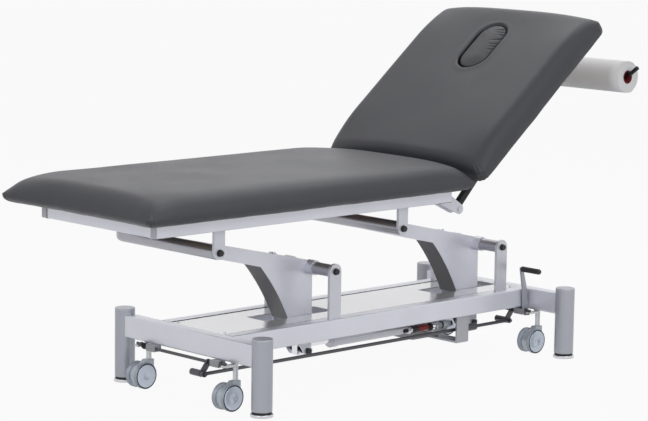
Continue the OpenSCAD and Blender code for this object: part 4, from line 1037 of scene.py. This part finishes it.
def line_tree(name, part):
    """Geometry Nodes: sets small pieces along a curve at an even pitch, turned along it."""
    tree = bpy.data.node_groups.new(name, "GeometryNodeTree")
    sockets = tree.interface
    sockets.new_socket(name="Geometry", in_out="OUTPUT", socket_type="NodeSocketGeometry")
    sockets.new_socket(name="Line", in_out="INPUT", socket_type="NodeSocketGeometry")
    for label, value in SIZES:
        s = sockets.new_socket(name=label, in_out="INPUT", socket_type="NodeSocketFloat")
        s.default_value = value
    sockets.new_socket(name="Finish", in_out="INPUT", socket_type="NodeSocketMaterial")
    n, link = tree.nodes, tree.links
    gin, gout = n.new("NodeGroupInput"), n.new("NodeGroupOutput")
    points = n.new("GeometryNodeCurveToPoints")
    points.mode = "LENGTH"
    link.new(gin.outputs["Line"], points.inputs["Curve"])
    link.new(gin.outputs["Pitch"], points.inputs["Length"])
    put = n.new("GeometryNodeInstanceOnPoints")
    link.new(points.outputs["Points"], put.inputs["Points"])
    link.new(points.outputs["Rotation"], put.inputs["Rotation"])
    size = n.new("ShaderNodeCombineXYZ")
    for k, label in enumerate(("Thickness", "Width", "Length")):
        link.new(gin.outputs[label], size.inputs[k])
    if part == "bead":
        solid = n.new("GeometryNodeMeshIcoSphere")
        preset(solid, {"Radius": 0.5, "Subdivisions": 2})
        vary = n.new("FunctionNodeRandomValue")
        preset(vary, {RANDOM_MIN: BEAD_LEAST, RANDOM_MAX: BEAD_MOST, "Seed": 3})
        grow = n.new("ShaderNodeVectorMath")
        grow.operation = "SCALE"
        link.new(size.outputs[0], grow.inputs[0])
        link.new(vary.outputs[1], grow.inputs["Scale"])
        link.new(grow.outputs[0], put.inputs["Scale"])
    else:
        solid = n.new("GeometryNodeMeshCube")
        solid.inputs["Size"].default_value = (1, 1, 1)
        link.new(size.outputs[0], put.inputs["Scale"])
    link.new(solid.outputs["Mesh"], put.inputs["Instance"])
    real = n.new("GeometryNodeRealizeInstances")
    paint = n.new("GeometryNodeSetMaterial")
    link.new(put.outputs["Instances"], real.inputs["Geometry"])
    link.new(real.outputs["Geometry"], paint.inputs["Geometry"])
    link.new(gin.outputs["Finish"], paint.inputs["Material"])
    link.new(paint.outputs["Geometry"], gout.inputs["Geometry"])
    return tree


BEADS = line_tree("weld_beads", "bead")
STAPLES = line_tree("staples", "staple")


def along_lines(name, tree, lines, sizes, mat):
    """One mesh of small pieces along every line of points."""
    data = bpy.data.curves.new(name + "_line", "CURVE")
    data.dimensions = "3D"
    for pts in lines:
        sp = data.splines.new("POLY")
        sp.points.add(len(pts) - 1)
        for q, p in zip(sp.points, pts):
            q.co = (*p, 1)
    ob = bpy.data.objects.new(name + "_line", data)
    scene.collection.objects.link(ob)
    mod = ob.modifiers.new("pieces", "NODES")
    mod.node_group = tree
    values = {**sizes, "Finish": mat}
    for item in tree.interface.items_tree:
        if item.in_out == "INPUT" and item.name in values:
            mod[item.identifier] = values[item.name]
    me = applied(ob)
    me.name = name
    bpy.data.objects.remove(ob)
    made = bpy.data.objects.new(name, me)
    scene.collection.objects.link(made)
    return made


def loop(cx, cy, hx, hy, z):
    return [(cx - hx, cy - hy, z), (cx + hx, cy - hy, z), (cx + hx, cy + hy, z),
            (cx - hx, cy + hy, z), (cx - hx, cy - hy, z)]


WELD = {"Pitch": 0.0022, "Thickness": 0.0032, "Width": 0.0032, "Length": 0.0046}
RAIL_TOP = 0.210
POST_Y = (-0.1515, 0.135)
POST_HALF_L, POST_HALF_W = 0.024, 0.0045
post_lines = [loop(x, y, POST_HALF_L, POST_HALF_W, RAIL_TOP)
              for x in PIVOT_X.values() for y in POST_Y]
mount(along_lines("post_welds", BEADS, post_lines, WELD, FINISHES["light_paint"]), "base",
      "light_paint")

TAB_X, TAB_Y, TAB_Z, TAB_HALF = (-0.7466, -0.0006), 0.2245, 0.5455, 0.02
# Welds under the corners of the frame, across the width of its end rail
CORNER_Y, CORNER_BACK, CORNER_FRONT = 0.2392, 0.0395, 0.0005
tab_lines = [[(x - TAB_HALF, s * TAB_Y, TAB_Z), (x + TAB_HALF, s * TAB_Y, TAB_Z)]
             for x in TAB_X for s in (-1, 1)]
corner_lines = [[(RAIL_LO.x + CORNER_BACK, s * CORNER_Y, RAIL_LO.z),
                 (RAIL_LO.x + CORNER_FRONT, s * CORNER_Y, RAIL_LO.z)] for s in (-1, 1)]
mount(along_lines("frame_welds", BEADS, tab_lines + corner_lines, WELD, FINISHES["frame_paint"]),
      "top", "frame_paint")

STAPLE = {"Pitch": 0.028, "Thickness": 0.0010, "Width": 0.0012, "Length": 0.0105}
SEAT_ROW_IN, BACK_ROW_IN = 0.012, 0.024
BOARD_LO, BOARD_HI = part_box("seat_board")
seat_row = loop((BOARD_LO.x + BOARD_HI.x) / 2, 0, (BOARD_HI.x - BOARD_LO.x) / 2 - SEAT_ROW_IN,
                BOARD_HI.y - SEAT_ROW_IN, SEAT_BASE)
mount(along_lines("seat_staples", STAPLES, [seat_row], STAPLE, FINISHES["bright_steel"]), "top",
      "bright_steel")
back_row = loop(BACK_MID, 0, back_a - BACK_ROW_IN, HALF_W - BACK_ROW_IN, DROP)
staples = along_lines("back_staples", STAPLES, [back_row], STAPLE, FINISHES["bright_steel"])
mount(settle(staples, BACK_TURN), "back", "bright_steel")

# Stage and light

WHITE = (1, 1, 1, 1)
AMBIENT, AMBIENT_COLOUR = 0.30, (0.95, 0.97, 1, 1)
FLOOR_HALF = 30
FLOOR_COLOUR, FLOOR_ROUGH = (0.6, 0.6, 0.6, 1), 0.9
# Share of the floor's look that is plain white; the rest takes the shadow
FLOOR_WHITE = 0.93


def shows_white(mat_or_world):
    """True where the camera, a reflection or glass looks at it."""
    tree = mat_or_world.node_tree
    n, link = tree.nodes, tree.links
    path = n.new("ShaderNodeLightPath")
    first, both = n.new("ShaderNodeMath"), n.new("ShaderNodeMath")
    first.operation = both.operation = "MAXIMUM"
    link.new(path.outputs["Is Camera Ray"], first.inputs[0])
    link.new(path.outputs["Is Glossy Ray"], first.inputs[1])
    link.new(first.outputs[0], both.inputs[0])
    link.new(path.outputs["Is Transmission Ray"], both.inputs[1])
    return n, link, both.outputs[0]


world = bpy.data.worlds.new("studio")
scene.world = world
world.use_nodes = True
n, link, seen = shows_white(world)
soft = n["Background"]
preset(soft, {"Color": AMBIENT_COLOUR, "Strength": AMBIENT})
bright = n.new("ShaderNodeBackground")
preset(bright, {"Color": WHITE, "Strength": 1.0})
choose = n.new("ShaderNodeMixShader")
link.new(seen, choose.inputs["Fac"])
link.new(soft.outputs[0], choose.inputs[1])
link.new(bright.outputs[0], choose.inputs[2])
link.new(choose.outputs[0], n["World Output"].inputs["Surface"])


def studio_floor():
    me = bpy.data.meshes.new("studio_floor")
    me.from_pydata([(x * FLOOR_HALF, y * FLOOR_HALF, 0)
                    for x, y in ((-1, -1), (1, -1), (1, 1), (-1, 1))], [], [(0, 1, 2, 3)])
    ob = bpy.data.objects.new("studio_floor", me)
    scene.collection.objects.link(ob)
    mat = bpy.data.materials.new("studio_floor")
    mat.use_nodes = True
    n, link, seen = shows_white(mat)
    shade = n["Principled BSDF"]
    preset(shade, {"Base Color": FLOOR_COLOUR, "Roughness": FLOOR_ROUGH})
    glow = n.new("ShaderNodeEmission")
    glow.inputs["Color"].default_value = WHITE
    part = n.new("ShaderNodeMath")
    part.operation = "MULTIPLY"
    part.inputs[1].default_value = FLOOR_WHITE
    mix = n.new("ShaderNodeMixShader")
    link.new(seen, part.inputs[0])
    link.new(part.outputs[0], mix.inputs["Fac"])
    link.new(shade.outputs[0], mix.inputs[1])
    link.new(glow.outputs[0], mix.inputs[2])
    link.new(mix.outputs[0], n["Material Output"].inputs["Surface"])
    me.materials.append(mat)


studio_floor()

# Name, place, aim, size and power
LAMPS = (
    ("top_soft", (1.7, 0.8, 3.4), (0, 0, 0.5), (3.0, 2.5), 40),
    ("left_soft", (-3.6, -0.9, 1.7), (-0.5, 0, 0.4), (1.6, 1.2), 22),
    ("front_fill", (-0.5, -4.0, 2.4), (0, 0, 0.4), (3.0, 1.6), 52),
)

for name, at, aim, size, power in LAMPS:
    data = bpy.data.lights.new(name, "AREA")
    data.shape = "RECTANGLE"
    data.size, data.size_y = size
    data.energy = power
    ob = bpy.data.objects.new(name, data)
    scene.collection.objects.link(ob)
    way = Vector(aim) - Vector(at)
    ob.matrix_world = Matrix.Translation(at) @ way.to_track_quat("-Z", "Y").to_matrix().to_4x4()

scene.view_settings.view_transform = "Standard"
